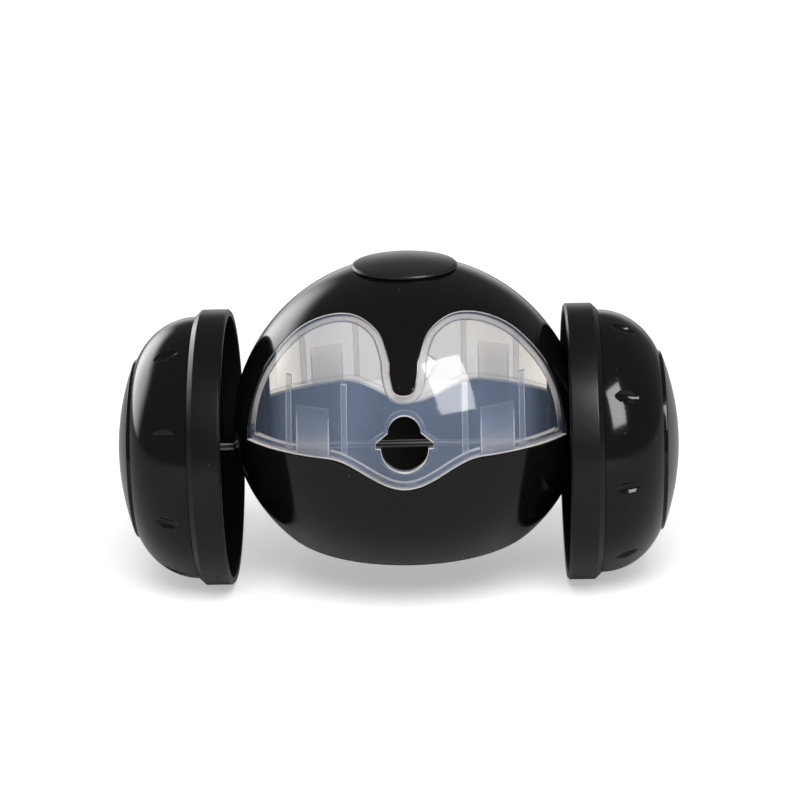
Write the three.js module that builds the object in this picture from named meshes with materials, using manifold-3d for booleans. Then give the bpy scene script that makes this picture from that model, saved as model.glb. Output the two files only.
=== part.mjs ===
// Treat dispensing car toy: a weighted ball with two milky windows, on an axle between two cup-shaped wheels.
// Millimetres, +Z up. The axle lies along X, the front of the toy faces -Y and the wheels stand on Z = 0.
import * as THREE from 'three';
import { mergeVertices } from 'three/addons/utils/BufferGeometryUtils.js';
import Module from 'manifold-3d';

const wasm = await Module();
wasm.setup();

// Overall sizes
const WHEEL_R = 54; // over the tyre band
const WHEEL_WIDTH = 44.1; // from the open rim to the tip of the hub cap
const BALL_R = 69; // radius of the upper shell
const BALL_RISE = 5.2; // centre of the ball above the axle
const SIDE_PLAY = 7.8; // how far the ball can slide between the two hubs

// Walls, shafts and clearances
const SHELL_WALL = 2.2;
const WINDOW_WALL = 1.8;
const WHEEL_WALL = 2.4;
const AXLE_R = 1.5;
const AXLE_CLEARANCE = 0.25; // round the axle in the hubs and in the bowl
const GAP = 0.3; // between pieces that sit against each other
const PLUG_CLEARANCE = 0.4; // round the plug of the filler cap

// Ball: a sphere above the parting plane, a flattened bowl below it
const PARTING_Z = 6; // above the centre of the ball
const PARTING_R = Math.sqrt(BALL_R ** 2 - PARTING_Z ** 2);
const BOWL_DEPTH = 62.1; // of the full ellipse, before its base is cut flat
const BASE_Z = -44;
const BASE_FLAT_R = 27;
const BASE_SHOULDER = 19.5; // from the widest radius in to where the rounding of the base meets the ellipse
const BALL_SIDES = 32;

// Windows, as they look from the front: offsets are in ball radii from the centre of the ball
const WINDOW_TOP = [[0, 0.43], [0.05, 0.449], [0.072, 0.529], [0.081, 0.61], [0.138, 0.733], [0.272, 0.8],
  [0.449, 0.774], [0.629, 0.665], [0.796, 0.454], [0.875, 0.203], [0.883, -0.16]];
const CHIN_DROP = 0.16 * BALL_R; // of the window's lower edge round the treat outlet
const CHIN_HALF_WIDTH = 0.42 * BALL_R;
const WINDOW_RIM = 4.6; // width of the thick border round the lobes
const WINDOW_LOWER_RIM = 2.8;
const WINDOW_LIP = 2.2; // how far the border reaches behind the black shells
const WINDOW_LIP_WALL = 1.6; // also of the ribs and tabs, which end at the same depth
const WINDOW_SIDE_Y = 0.33 * BALL_R; // the border stops here at the sides
const RIB_X = [0.322 * BALL_R, 0.629 * BALL_R];
const RIB_WIDTH = 2.2;
const RIB_TOP_Z = 0.47 * BALL_R;
const TAB_X = 0.496 * BALL_R;
const TAB_HALF_WIDTH = 6.3;
const TAB_TOP_Z = 0.333 * BALL_R;
const TAB_BOTTOM_Z = -0.06 * BALL_R;

// Treat outlet: a round head over a wider round foot, with an ear at each side
const OUTLET_HEAD_R = 6;
const OUTLET_FOOT_R = 8.65;
const OUTLET_EAR_X = 10.6;
const OUTLET_HEAD_Z = 16.4;
const OUTLET_FOOT_Z = 10.6;
const OUTLET_EAR_HEIGHT = 2;
const OUTLET_RIM = 1.6;

// Filler hole and cap
const CAP_R = 20.3;
const CAP_CROWN = 2.1; // rise of the domed head
const CAP_EDGE = 1.7; // height of its edge
const CAP_EDGE_ROUNDING = 0.9;
const CAP_WALL = 2;
const HOLE_R = 15;
const FILLER_LEAN = THREE.MathUtils.degToRad(3.5); // of hole and cap towards the front
const PLUG_LENGTH = 5.4;
const PLUG_HOLLOW = 3.4; // depth of the hollow in the foot of the plug

// Counterweight, its cover and the screws
const WEIGHT_R = 24.2;
const WEIGHT_HEIGHT = 8;
const POCKET_WALL = 1.8;
const COVER_WALL = 1.6;
const COVER_SCREW_COUNT = 3;
const SCREW_R = 1.3;
const SCREW_HEAD_R = 2.6;
const SCREW_HEAD_HEIGHT = 1.6;
const SCREW_HEAD_BEVEL = 0.7;
const SCREW_TIP = 1.2;
const COVER_SCREW_LENGTH = 6.5;
const POST_R = 3.6;
const SHELL_POST_R = 4.2;
const POST_SPACE = 1.2; // between the pocket and the posts round it
const COVER_MARGIN = 2.2; // of the cover round its screw heads
const SHELL_SCREW_INSET = 9.7; // from the widest radius of the bowl
const SHELL_SCREW_Y = 12;
const SHELL_SCREW_LENGTH = 20;
const SHELL_SEAT_DEPTH = 9; // from the parting plane down to the seat of the screw head
const SHELL_BOSS_HEIGHT = 15;
const AXLE_BOSS_R = 5.5;
const AXLE_BOSS_LENGTH = 9;
const AXLE_BOSS_PROUD = 0.8; // thrust face in front of the side of the bowl

// Wheels, along the axle from the open rim outwards
const WHEEL_SIDES = 32;
const DOME_STEPS = 5;
const BAND_WIDTH = 12.8;
const BAND_CHAMFER = 2.25; // on the side of the dome
const BAND_BEVEL = 0.8; // on the side of the open rim
const BAND_STEP = 0.6; // of the band above the dome
const BAND_WALL = 2.7;
const SKIRT_START = 7.5; // the band alone makes the open rim
const DOME_LENGTH = 26; // half axes of the dome's ellipse
const DOME_DROP = 29;
const CAP_SEAT_R = 36;
const CAP_SEAT_DEPTH = 2.7;
const CAP_SIDE_GAP = 1;
const HUB_CAP_WALL = 2;
const HUB_CAP_EDGE = 1.4; // of the hub cap in front of the dome
const HUB_R = 5.2;
const WALL_CORNER = 2; // slant between the inside of the dome and the end wall
const WHEEL_RIB_COUNT = 6;
const WHEEL_RIB_WALL = 1.8;
const WHEEL_RIB_START = 24;
const DIMPLE_COUNT = 9;
const DIMPLE_LENGTH = 15;
const DIMPLE_R = 2.7;
const DIMPLE_LIFT = 1.4; // of the cutter's axis in front of the dome
const DIMPLE_AT = 0.38; // along the dome
const RIGHT_DIMPLE_TURN = THREE.MathUtils.degToRad(146);
const LEFT_DIMPLE_TURN = THREE.MathUtils.degToRad(20);
const WASHER_R = 4;
const WASHER_WALL = 0.8;
const PUSH_NUT_R = 5;
const PUSH_NUT_WALL = 0.6;
const PUSH_NUT_DISH = 0.9;
const AXLE_END = 1.6; // axle beyond the push nut

// Places that follow from the sizes
const AXLE_Z = WHEEL_R;
const BASE_ROUND_R = PARTING_R - BASE_SHOULDER;
const COVER_SCREW_CIRCLE = WEIGHT_R + GAP + POCKET_WALL + POST_SPACE + POST_R;
const COVER_R = COVER_SCREW_CIRCLE + SCREW_HEAD_R + COVER_MARGIN;
const SHELL_SCREW_X = PARTING_R - SHELL_SCREW_INSET;
const BAND_BASE_R = WHEEL_R - BAND_WALL;
const DOME_START = BAND_WIDTH + GAP;
const BALL_X = SIDE_PLAY / 2;
const RIM_X = BALL_R - BALL_X;
const AXLE_DROP = -BALL_RISE;
const BOWL_SIDE_X = PARTING_R * Math.sqrt(1 - ((PARTING_Z - AXLE_DROP) / BOWL_DEPTH) ** 2);
const THRUST_X = BOWL_SIDE_X + AXLE_BOSS_PROUD;
const HUB_START = BALL_X + THRUST_X + GAP - RIM_X;
const FLOOR_Z = BASE_Z + SHELL_WALL;
const WEIGHT_Z = FLOOR_Z + GAP;
const POCKET_TOP_Z = WEIGHT_Z + WEIGHT_HEIGHT + GAP;
const COVER_Z = POCKET_TOP_Z + GAP;
const CAP_UNDERSIDE_Z = Math.sqrt(BALL_R ** 2 - CAP_R ** 2) + GAP;
const HOLE_TOP_Z = Math.sqrt(BALL_R ** 2 - HOLE_R ** 2);
const BORE_R = AXLE_R + AXLE_CLEARANCE;

// Solids

function solid(geometry) {
  geometry.deleteAttribute('normal');
  geometry.deleteAttribute('uv');
  const merged = mergeVertices(geometry, 1e-4);
  const index = merged.index.array;
  const triangles = [];
  for (let i = 0; i < index.length; i += 3) {
    const [a, b, c] = [index[i], index[i + 1], index[i + 2]];
    if (a !== b && b !== c && c !== a) {
      triangles.push(a, b, c);
    }
  }
  const vertProperties = new Float32Array(merged.attributes.position.array);
  const triVerts = new Uint32Array(triangles);
  return new wasm.Manifold(new wasm.Mesh({ numProp: 3, vertProperties, triVerts }));
}

function geometryOf(body) {
  const { vertProperties, triVerts } = body.getMesh();
  const geometry = new THREE.BufferGeometry();
  geometry.setAttribute('position', new THREE.BufferAttribute(vertProperties, 3));
  geometry.setIndex(new THREE.BufferAttribute(triVerts, 1));
  geometry.computeVertexNormals();
  return geometry;
}

// Turned solids: points are [radius, height] and run anticlockwise round the material
function turned(points, sides, start = 0) {
  const profile = points.map(([radius, height]) => new THREE.Vector2(radius, height));
  return new THREE.LatheGeometry(profile, sides, start);
}

function turnedUpright(points, sides) {
  return solid(turned(points, sides).rotateX(Math.PI / 2));
}

// Wheel pieces are turned round X with a flat side down, so that the sides touch the true circle
function turnedAlongAxle(points, sides = WHEEL_SIDES) {
  const spread = 1 / Math.cos(Math.PI / sides);
  const widened = points.map(([radius, along]) => [radius * spread, along]);
  return solid(turned(widened, sides, Math.PI / sides).rotateZ(-Math.PI / 2));
}

function closed(points) {
  return [...points, points[0]];
}

function block(minX, maxX, minY, maxY, minZ, maxZ) {
  const geometry = new THREE.BoxGeometry(maxX - minX, maxY - minY, maxZ - minZ);
  return geometry.translate((minX + maxX) / 2, (minY + maxY) / 2, (minZ + maxZ) / 2);
}

function box(...limits) {
  return solid(block(...limits));
}

function postAt(x, y, minZ, maxZ, radius, sides = 10) {
  const post = new THREE.CylinderGeometry(radius, radius, maxZ - minZ, sides).rotateX(Math.PI / 2);
  return solid(post.translate(x, y, (minZ + maxZ) / 2));
}

function rodAlongX(minX, maxX, z, radius, sides = 16) {
  const rod = new THREE.CylinderGeometry(radius, radius, maxX - minX, sides).rotateZ(Math.PI / 2);
  return solid(rod.translate((minX + maxX) / 2, 0, z));
}

// Ball surfaces, at a given depth under the outside

function ballProfile() {
  const points = [[0, BASE_Z], [BASE_FLAT_R, BASE_Z]];
  const meet = Math.asin(Math.sqrt(1 - (BASE_ROUND_R / PARTING_R) ** 2));
  const meetZ = PARTING_Z - BOWL_DEPTH * Math.sin(meet);
  const meetSlope = (BOWL_DEPTH * BASE_ROUND_R) / (PARTING_R * Math.sqrt(PARTING_R ** 2 - BASE_ROUND_R ** 2));
  const corner = BASE_ROUND_R - (meetZ - BASE_Z) / meetSlope;
  const rounding = new THREE.QuadraticBezierCurve(new THREE.Vector2(BASE_FLAT_R, BASE_Z),
    new THREE.Vector2(corner, BASE_Z), new THREE.Vector2(BASE_ROUND_R, meetZ));
  const roundSteps = 3;
  for (let i = 1; i < roundSteps; i += 1) {
    points.push(rounding.getPoint(i / roundSteps).toArray());
  }
  const bowlSteps = 5;
  for (let i = 0; i < bowlSteps; i += 1) {
    const angle = meet * (1 - i / bowlSteps);
    points.push([PARTING_R * Math.cos(angle), PARTING_Z - BOWL_DEPTH * Math.sin(angle)]);
  }
  const startAngle = Math.asin(PARTING_Z / BALL_R);
  const domeSteps = 8;
  for (let i = 0; i < domeSteps; i += 1) {
    const angle = startAngle + (Math.PI / 2 - startAngle) * (i / domeSteps);
    points.push([BALL_R * Math.cos(angle), BALL_R * Math.sin(angle)]);
  }
  points.push([0, BALL_R]);
  return points;
}

function sunkProfile(points, depth) {
  const last = points.length - 1;
  return points.map(([radius, height], i) => {
    if (i === 0 || i === last) {
      return [0, height + (i === 0 ? depth : -depth)];
    }
    const before = new THREE.Vector2(radius - points[i - 1][0], height - points[i - 1][1]).normalize();
    const after = new THREE.Vector2(points[i + 1][0] - radius, points[i + 1][1] - height).normalize();
    const inward = new THREE.Vector2(-(before.y + after.y), before.x + after.x).normalize();
    const reach = depth / (-before.y * inward.x + before.x * inward.y);
    return [radius + inward.x * reach, height + inward.y * reach];
  });
}

const BALL_PROFILE = ballProfile();

function ballSolid(depth) {
  return turnedUpright(sunkProfile(BALL_PROFILE, depth), BALL_SIDES);
}

function ballSkin(outerDepth, innerDepth) {
  return ballSolid(outerDepth).subtract(ballSolid(innerDepth));
}

// Window outlines, drawn from the front and pushed through the front half of the ball, or turned to the back

const FRONT = 0;
const BACK = Math.PI;

function pushedThrough(points, facing) {
  const shape = new THREE.Shape(points);
  const prism = new THREE.ExtrudeGeometry(shape, { depth: 1.2 * BALL_R, bevelEnabled: false });
  return solid(prism.rotateX(Math.PI / 2).rotateZ(facing));
}

function offsetCurve(points, distance) {
  return points.map((point, i) => {
    const before = points[Math.max(i - 1, 0)];
    const after = points[Math.min(i + 1, points.length - 1)];
    const along = after.clone().sub(before).normalize();
    return new THREE.Vector2(point.x - along.y * distance, point.y + along.x * distance);
  });
}

function underWindowTop(outward, facing) {
  const half = WINDOW_TOP.map(([x, z]) => new THREE.Vector2(x * BALL_R, z * BALL_R));
  const mirrored = half.slice(1).reverse().map((point) => new THREE.Vector2(-point.x, point.y));
  const curve = new THREE.SplineCurve([...mirrored, ...half]).getPoints(36);
  return pushedThrough(offsetCurve(curve, outward), facing);
}

function aboveWindowFoot(outward, facing) {
  const steps = 12;
  const curve = [];
  for (let i = 0; i <= steps; i += 1) {
    const x = CHIN_HALF_WIDTH * (2 * i / steps - 1);
    const drop = CHIN_DROP * (1 + Math.cos(Math.PI * x / CHIN_HALF_WIDTH)) / 2;
    curve.push(new THREE.Vector2(x, PARTING_Z - drop));
  }
  const reach = 1.2 * BALL_R;
  const lowered = offsetCurve(curve, -outward);
  const left = new THREE.Vector2(-reach, lowered[0].y);
  const right = new THREE.Vector2(reach, lowered[0].y);
  const topRight = new THREE.Vector2(reach, reach);
  const topLeft = new THREE.Vector2(-reach, reach);
  return pushedThrough([left, ...lowered, right, topRight, topLeft], facing);
}

function windowOutline(topOutward, footOutward, facing = FRONT) {
  return underWindowTop(topOutward, facing).intersect(aboveWindowFoot(footOutward, facing));
}

function outletOutline(outward) {
  const headR = OUTLET_HEAD_R + outward;
  const footR = OUTLET_FOOT_R + outward;
  const earX = OUTLET_EAR_X + outward;
  const earTop = OUTLET_FOOT_Z + OUTLET_EAR_HEIGHT + outward / 2;
  const outline = new THREE.Shape();
  outline.absarc(0, OUTLET_FOOT_Z, footR, -Math.PI, 0, false);
  outline.lineTo(earX, OUTLET_FOOT_Z - outward);
  outline.lineTo(earX, earTop);
  outline.absarc(0, OUTLET_HEAD_Z, headR, 0, Math.PI, false);
  outline.lineTo(-earX, earTop);
  outline.lineTo(-earX, OUTLET_FOOT_Z - outward);
  return pushedThrough(outline.getPoints(8), FRONT);
}

// Pieces of the ball, in a frame at the centre of the ball

function mirroredPlaces(x, y) {
  return [[x, y], [-x, y], [-x, -y], [x, -y]];
}

function coverScrewPlaces() {
  const places = [];
  for (let i = 0; i < COVER_SCREW_COUNT; i += 1) {
    const angle = Math.PI / 2 + (2 * Math.PI * i) / COVER_SCREW_COUNT;
    places.push([COVER_SCREW_CIRCLE * Math.cos(angle), COVER_SCREW_CIRCLE * Math.sin(angle)]);
  }
  return places;
}

const SHELL_SCREW_PLACES = mirroredPlaces(SHELL_SCREW_X, SHELL_SCREW_Y);
const SHELL_SEAT_Z = PARTING_Z - SHELL_SEAT_DEPTH;

function lowerBowl() {
  const bowlTop = PARTING_Z - GAP;
  const above = box(-BALL_R * 2, BALL_R * 2, -BALL_R * 2, BALL_R * 2, bowlTop, BALL_R * 2);
  const whole = ballSolid(0);
  let bowl = ballSkin(0, SHELL_WALL).subtract(above);
  const pocket = postAt(0, 0, FLOOR_Z - 1, POCKET_TOP_Z, WEIGHT_R + GAP + POCKET_WALL, BALL_SIDES);
  const pocketRoom = postAt(0, 0, FLOOR_Z - 2, POCKET_TOP_Z + 1, WEIGHT_R + GAP, BALL_SIDES);
  let fittings = pocket.subtract(pocketRoom);
  for (const [x, y] of coverScrewPlaces()) {
    const hole = postAt(x, y, FLOOR_Z + GAP, POCKET_TOP_Z + 1, SCREW_R + GAP);
    fittings = fittings.add(postAt(x, y, BASE_Z, POCKET_TOP_Z, POST_R).subtract(hole));
  }
  for (const [x, y] of SHELL_SCREW_PLACES) {
    fittings = fittings.add(postAt(x, y, BASE_Z, bowlTop, SHELL_POST_R));
  }
  for (const side of [-1, 1]) {
    const ends = [side * (THRUST_X - AXLE_BOSS_LENGTH), side * (THRUST_X - AXLE_BOSS_PROUD - SHELL_WALL / 2)];
    fittings = fittings.add(rodAlongX(Math.min(...ends), Math.max(...ends), AXLE_DROP, AXLE_BOSS_R));
  }
  bowl = bowl.add(fittings.intersect(whole));
  for (const side of [-1, 1]) {
    const ends = [side * (THRUST_X - AXLE_BOSS_LENGTH), side * THRUST_X];
    bowl = bowl.add(rodAlongX(Math.min(...ends), Math.max(...ends), AXLE_DROP, AXLE_BOSS_R));
  }
  bowl = bowl.subtract(rodAlongX(-2 * BALL_R, 2 * BALL_R, AXLE_DROP, BORE_R));
  for (const [x, y] of SHELL_SCREW_PLACES) {
    bowl = bowl.subtract(postAt(x, y, BASE_Z, SHELL_SEAT_Z, SCREW_HEAD_R + GAP));
    bowl = bowl.subtract(postAt(x, y, BASE_Z, PARTING_Z, SCREW_R + GAP));
  }
  return bowl.subtract(windowOutline(GAP, GAP, FRONT)).subtract(windowOutline(GAP, GAP, BACK));
}

function upperShell() {
  const below = box(-BALL_R * 2, BALL_R * 2, -BALL_R * 2, BALL_R * 2, -BALL_R * 2, PARTING_Z);
  let shell = ballSkin(0, SHELL_WALL);
  for (const [x, y] of SHELL_SCREW_PLACES) {
    const bossTop = PARTING_Z + SHELL_BOSS_HEIGHT;
    const boss = postAt(x, y, PARTING_Z, bossTop, SHELL_POST_R);
    const web = box(Math.min(x, 1.15 * x), Math.max(x, 1.15 * x), y - 1, y + 1, PARTING_Z, bossTop);
    shell = shell.add(boss.add(web).intersect(ballSolid(SHELL_WALL / 2)));
  }
  for (const [x, y] of SHELL_SCREW_PLACES) {
    const tip = SHELL_SEAT_Z + SHELL_SCREW_LENGTH + GAP;
    shell = shell.subtract(postAt(x, y, 0, tip, SCREW_R + GAP));
  }
  const hole = new THREE.CylinderGeometry(HOLE_R, HOLE_R, BALL_R, BALL_SIDES).translate(0, BALL_R, 0);
  shell = shell.subtract(below).subtract(solid(hole.rotateX(Math.PI / 2 + FILLER_LEAN)));
  return shell.subtract(windowOutline(0, 0, FRONT)).subtract(windowOutline(0, 0, BACK));
}

// Seen from the front: a panel flush with the ball, a border with a lip behind the black shells, ribs, snap
// tabs that reach down behind the rim of the bowl, and the treat outlet with a raised edge on the inside
function windowPiece() {
  const lipDepth = SHELL_WALL + GAP;
  const backDepth = lipDepth + WINDOW_LIP_WALL;
  const front = [-2 * BALL_R, -WINDOW_SIDE_Y];
  const frontHalf = box(-BALL_R, BALL_R, ...front, -BALL_R, BALL_R);
  let reach = windowOutline(WINDOW_LIP, WINDOW_LIP).intersect(frontHalf);
  let thinned = windowOutline(-WINDOW_RIM, -WINDOW_LOWER_RIM).subtract(outletOutline(OUTLET_RIM));
  for (const side of [-1, 1]) {
    for (const x of RIB_X) {
      const middle = side * x;
      const rib = box(middle - RIB_WIDTH / 2, middle + RIB_WIDTH / 2, ...front, -BALL_R, RIB_TOP_Z);
      thinned = thinned.subtract(rib);
    }
    const tabEdges = [side * TAB_X - TAB_HALF_WIDTH, side * TAB_X + TAB_HALF_WIDTH];
    const tab = box(...tabEdges, ...front, TAB_BOTTOM_Z, TAB_TOP_Z);
    thinned = thinned.subtract(tab);
    reach = reach.add(tab);
  }
  const behindShells = ballSkin(-1, lipDepth).subtract(windowOutline(-GAP, 0));
  const block = reach.intersect(ballSkin(0, backDepth)).subtract(behindShells);
  return block.subtract(thinned.intersect(ballSolid(WINDOW_WALL))).subtract(outletOutline(0));
}

function fillerCap() {
  const plugR = HOLE_R - PLUG_CLEARANCE;
  const plugFoot = HOLE_TOP_Z - PLUG_LENGTH;
  const edgeTop = CAP_UNDERSIDE_Z + CAP_EDGE;
  const edge = CAP_R - CAP_EDGE_ROUNDING;
  const hollowR = plugR - CAP_WALL;
  const hollowTop = plugFoot + PLUG_HOLLOW;
  const points = [[0, hollowTop], [hollowR, hollowTop], [hollowR, plugFoot]];
  points.push([plugR, plugFoot], [plugR, HOLE_TOP_Z + GAP]);
  points.push([CAP_R, CAP_UNDERSIDE_Z], [CAP_R, edgeTop - CAP_EDGE_ROUNDING]);
  const steps = 4;
  for (let i = 0; i <= steps; i += 1) {
    const radius = edge * (1 - i / steps);
    points.push([radius, edgeTop + CAP_CROWN * (1 - (radius / edge) ** 2)]);
  }
  return turnedUpright(points, 24);
}

function counterweight() {
  return postAt(0, 0, WEIGHT_Z, WEIGHT_Z + WEIGHT_HEIGHT, WEIGHT_R, BALL_SIDES);
}

function weightCover() {
  let cover = postAt(0, 0, COVER_Z, COVER_Z + COVER_WALL, COVER_R, BALL_SIDES);
  for (const [x, y] of coverScrewPlaces()) {
    cover = cover.subtract(postAt(x, y, COVER_Z - 1, COVER_Z + COVER_WALL + 1, SCREW_R + GAP));
  }
  return cover;
}

// Screws stand on their heads: the seat of the head is at height 0 and the shank rises
function screw(length) {
  const headTop = -SCREW_HEAD_HEIGHT;
  const tip = length - SCREW_TIP;
  const points = [[0, headTop], [SCREW_HEAD_R - SCREW_HEAD_BEVEL, headTop]];
  points.push([SCREW_HEAD_R, headTop + SCREW_HEAD_BEVEL], [SCREW_HEAD_R, 0]);
  points.push([SCREW_R, 0], [SCREW_R, tip], [0, length]);
  return turnedUpright(points, 8);
}

// Pieces of a wheel, in a frame at the open rim with X outwards

function domeRadius(along) {
  const part = Math.min((along - DOME_START) / DOME_LENGTH, 1);
  return BAND_BASE_R - DOME_DROP * (1 - Math.sqrt(1 - part ** 2));
}

function domeAlong(radius) {
  const part = 1 - (BAND_BASE_R - radius) / DOME_DROP;
  return DOME_START + DOME_LENGTH * Math.sqrt(1 - part ** 2);
}

const DOME_END = domeAlong(CAP_SEAT_R);
const SEAT_ALONG = DOME_END - CAP_SEAT_DEPTH;

function domePoints(inset, steps) {
  const points = [];
  for (let i = 0; i <= steps; i += 1) {
    const angle = Math.asin((DOME_END - DOME_START) / DOME_LENGTH) * (i / steps);
    const along = DOME_START + (DOME_LENGTH - inset) * Math.sin(angle);
    const radius = BAND_BASE_R - DOME_DROP + (DOME_DROP - inset) * Math.cos(angle);
    points.push([radius, along]);
  }
  return points;
}

function wheelShell(dimpleTurn) {
  const wallInside = SEAT_ALONG - WHEEL_WALL;
  const inside = domePoints(WHEEL_WALL, DOME_STEPS).filter(([, along]) => along < wallInside - 1).reverse();
  const skirtInside = BAND_BASE_R - WHEEL_WALL;
  const skirtOutside = BAND_BASE_R - GAP;
  const points = [[BORE_R, HUB_START], [HUB_R, HUB_START], [HUB_R, wallInside]];
  points.push([inside[0][0] - WALL_CORNER, wallInside], ...inside);
  points.push([skirtInside, SKIRT_START], [skirtOutside, SKIRT_START], [skirtOutside, DOME_START]);
  points.push(...domePoints(0, DOME_STEPS), [CAP_SEAT_R, SEAT_ALONG], [BORE_R, SEAT_ALONG]);
  let shell = turnedAlongAxle(closed(points));

  const ribEnd = wallInside + WHEEL_WALL / 2;
  const ribRoom = [[0, WHEEL_RIB_START], ...domePoints(WHEEL_WALL / 2, DOME_STEPS), [0, ribEnd]];
  const room = turnedAlongAxle(ribRoom.filter(([, along]) => along <= ribEnd));
  const innerHub = rodAlongX(HUB_START - 1, SEAT_ALONG, 0, HUB_R - 1);
  for (let i = 0; i < WHEEL_RIB_COUNT; i += 1) {
    const half = WHEEL_RIB_WALL / 2;
    const turn = (2 * Math.PI * (i + 0.5)) / WHEEL_RIB_COUNT;
    const rib = solid(block(WHEEL_RIB_START, SEAT_ALONG, 0, WHEEL_R, -half, half).rotateX(turn));
    shell = shell.add(rib.intersect(room).subtract(innerHub));
  }
  for (let i = 0; i < DIMPLE_COUNT; i += 1) {
    shell = shell.subtract(dimple(dimpleTurn + (2 * Math.PI * i) / DIMPLE_COUNT));
  }
  return shell;
}

// An almond-shaped cutter that lies along the dome
function dimple(turn) {
  const along = DOME_START + DIMPLE_AT * (DOME_END - DOME_START);
  const slope = Math.atan2(domeRadius(along + 1) - domeRadius(along - 1), 2);
  const points = [];
  const steps = 6;
  for (let i = 0; i <= steps; i += 1) {
    const part = 2 * i / steps - 1;
    points.push([DIMPLE_R * (1 - part ** 2), part * DIMPLE_LENGTH / 2]);
  }
  const almond = turned(points, 8).rotateZ(-Math.PI / 2).rotateZ(slope);
  const radius = domeRadius(along) + DIMPLE_LIFT * Math.cos(slope);
  almond.translate(along - DIMPLE_LIFT * Math.sin(slope), radius, 0);
  return solid(almond.rotateX(turn));
}

function tyreBand() {
  const points = [[BAND_BASE_R, 0], [WHEEL_R - BAND_BEVEL, 0], [WHEEL_R, BAND_BEVEL]];
  points.push([WHEEL_R, BAND_WIDTH - BAND_CHAMFER]);
  points.push([BAND_BASE_R + BAND_STEP, BAND_WIDTH], [BAND_BASE_R, BAND_WIDTH]);
  return turnedAlongAxle(closed(points));
}

function hubCap() {
  const edgeR = CAP_SEAT_R - CAP_SIDE_GAP;
  const foot = SEAT_ALONG + GAP;
  const edge = DOME_END + HUB_CAP_EDGE;
  const rise = WHEEL_WIDTH - edge;
  const dome = (radius, inset) => WHEEL_WIDTH - inset - rise * (radius / edgeR) ** 2;
  const steps = 3;
  const points = [];
  for (let i = 0; i <= steps; i += 1) {
    const radius = ((edgeR - HUB_CAP_WALL) * i) / steps;
    points.push([radius, dome(radius, HUB_CAP_WALL)]);
  }
  points.push([edgeR - HUB_CAP_WALL, foot], [edgeR, foot]);
  for (let i = steps; i >= 0; i -= 1) {
    const radius = (edgeR * i) / steps;
    points.push([radius, dome(radius, 0)]);
  }
  return turnedAlongAxle(points);
}

function washer() {
  const start = SEAT_ALONG + GAP;
  const end = start + WASHER_WALL;
  const bore = AXLE_R + GAP;
  const points = [[bore, start], [WASHER_R, start], [WASHER_R, end], [bore, end]];
  return turnedAlongAxle(closed(points), 14);
}

const PUSH_NUT_START = SEAT_ALONG + WASHER_WALL + 2 * GAP;

function pushNut() {
  const bore = AXLE_R + AXLE_CLEARANCE;
  const start = PUSH_NUT_START;
  const rise = start + PUSH_NUT_DISH;
  const points = [[bore, rise], [PUSH_NUT_R, start], [PUSH_NUT_R, start + PUSH_NUT_WALL]];
  points.push([bore, rise + PUSH_NUT_WALL]);
  return turnedAlongAxle(closed(points), 14);
}

function axle() {
  const end = RIM_X + PUSH_NUT_START + PUSH_NUT_DISH + PUSH_NUT_WALL + AXLE_END;
  return rodAlongX(-end, end, 0, AXLE_R);
}

// Looks and assembly

const LOOKS = {
  glossBlack: { color: 0x0b0b0c, roughness: 0.18, metalness: 0 },
  satinBlack: { color: 0x151516, roughness: 0.5, metalness: 0 },
  tyreBlack: { color: 0x19191a, roughness: 0.62, metalness: 0 },
  milky: { color: 0xbfc4c8, roughness: 0.28, metalness: 0 },
  steel: { color: 0xc4c6c8, roughness: 0.25, metalness: 1 },
  zinc: { color: 0x9a9ea3, roughness: 0.4, metalness: 1 },
};

function piece(name, body, look) {
  const mesh = new THREE.Mesh(geometryOf(body), new THREE.MeshStandardMaterial(LOOKS[look]));
  mesh.name = name;
  return mesh;
}

function ballGroup() {
  const group = new THREE.Group();
  group.position.set(BALL_X, 0, AXLE_Z + BALL_RISE);
  group.add(piece('lower_bowl', lowerBowl(), 'glossBlack'));
  group.add(piece('upper_shell', upperShell(), 'glossBlack'));
  group.add(piece('front_window', windowPiece(), 'milky'));
  const backWindow = piece('back_window', windowPiece(), 'milky');
  backWindow.rotation.z = Math.PI;
  group.add(backWindow);
  const cap = piece('filler_cap', fillerCap(), 'satinBlack');
  cap.rotation.x = FILLER_LEAN;
  group.add(cap);
  group.add(piece('counterweight', counterweight(), 'zinc'));
  group.add(piece('weight_cover', weightCover(), 'satinBlack'));
  coverScrewPlaces().forEach(([x, y], i) => {
    const coverScrew = piece(`weight_cover_screw_${i + 1}`, screw(COVER_SCREW_LENGTH), 'zinc');
    coverScrew.position.set(x, y, COVER_Z + COVER_WALL + GAP);
    coverScrew.rotation.x = Math.PI;
    group.add(coverScrew);
  });
  SHELL_SCREW_PLACES.forEach(([x, y], i) => {
    const shellScrew = piece(`shell_screw_${i + 1}`, screw(SHELL_SCREW_LENGTH), 'zinc');
    shellScrew.position.set(x, y, SHELL_SEAT_Z - GAP);
    group.add(shellScrew);
  });
  return group;
}

function wheelGroup(side, dimpleTurn) {
  const group = new THREE.Group();
  group.add(piece(`${side}_wheel_shell`, wheelShell(dimpleTurn), 'glossBlack'));
  group.add(piece(`${side}_tyre_band`, tyreBand(), 'tyreBlack'));
  group.add(piece(`${side}_hub_cap`, hubCap(), 'glossBlack'));
  group.add(piece(`${side}_washer`, washer(), 'steel'));
  group.add(piece(`${side}_push_nut`, pushNut(), 'steel'));
  return group;
}

const toy = new THREE.Group();
toy.add(ballGroup());

const axleMesh = piece('axle', axle(), 'steel');
axleMesh.position.z = AXLE_Z;
toy.add(axleMesh);

const rightWheel = wheelGroup('right', RIGHT_DIMPLE_TURN);
rightWheel.position.set(RIM_X, 0, AXLE_Z);
toy.add(rightWheel);

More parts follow.
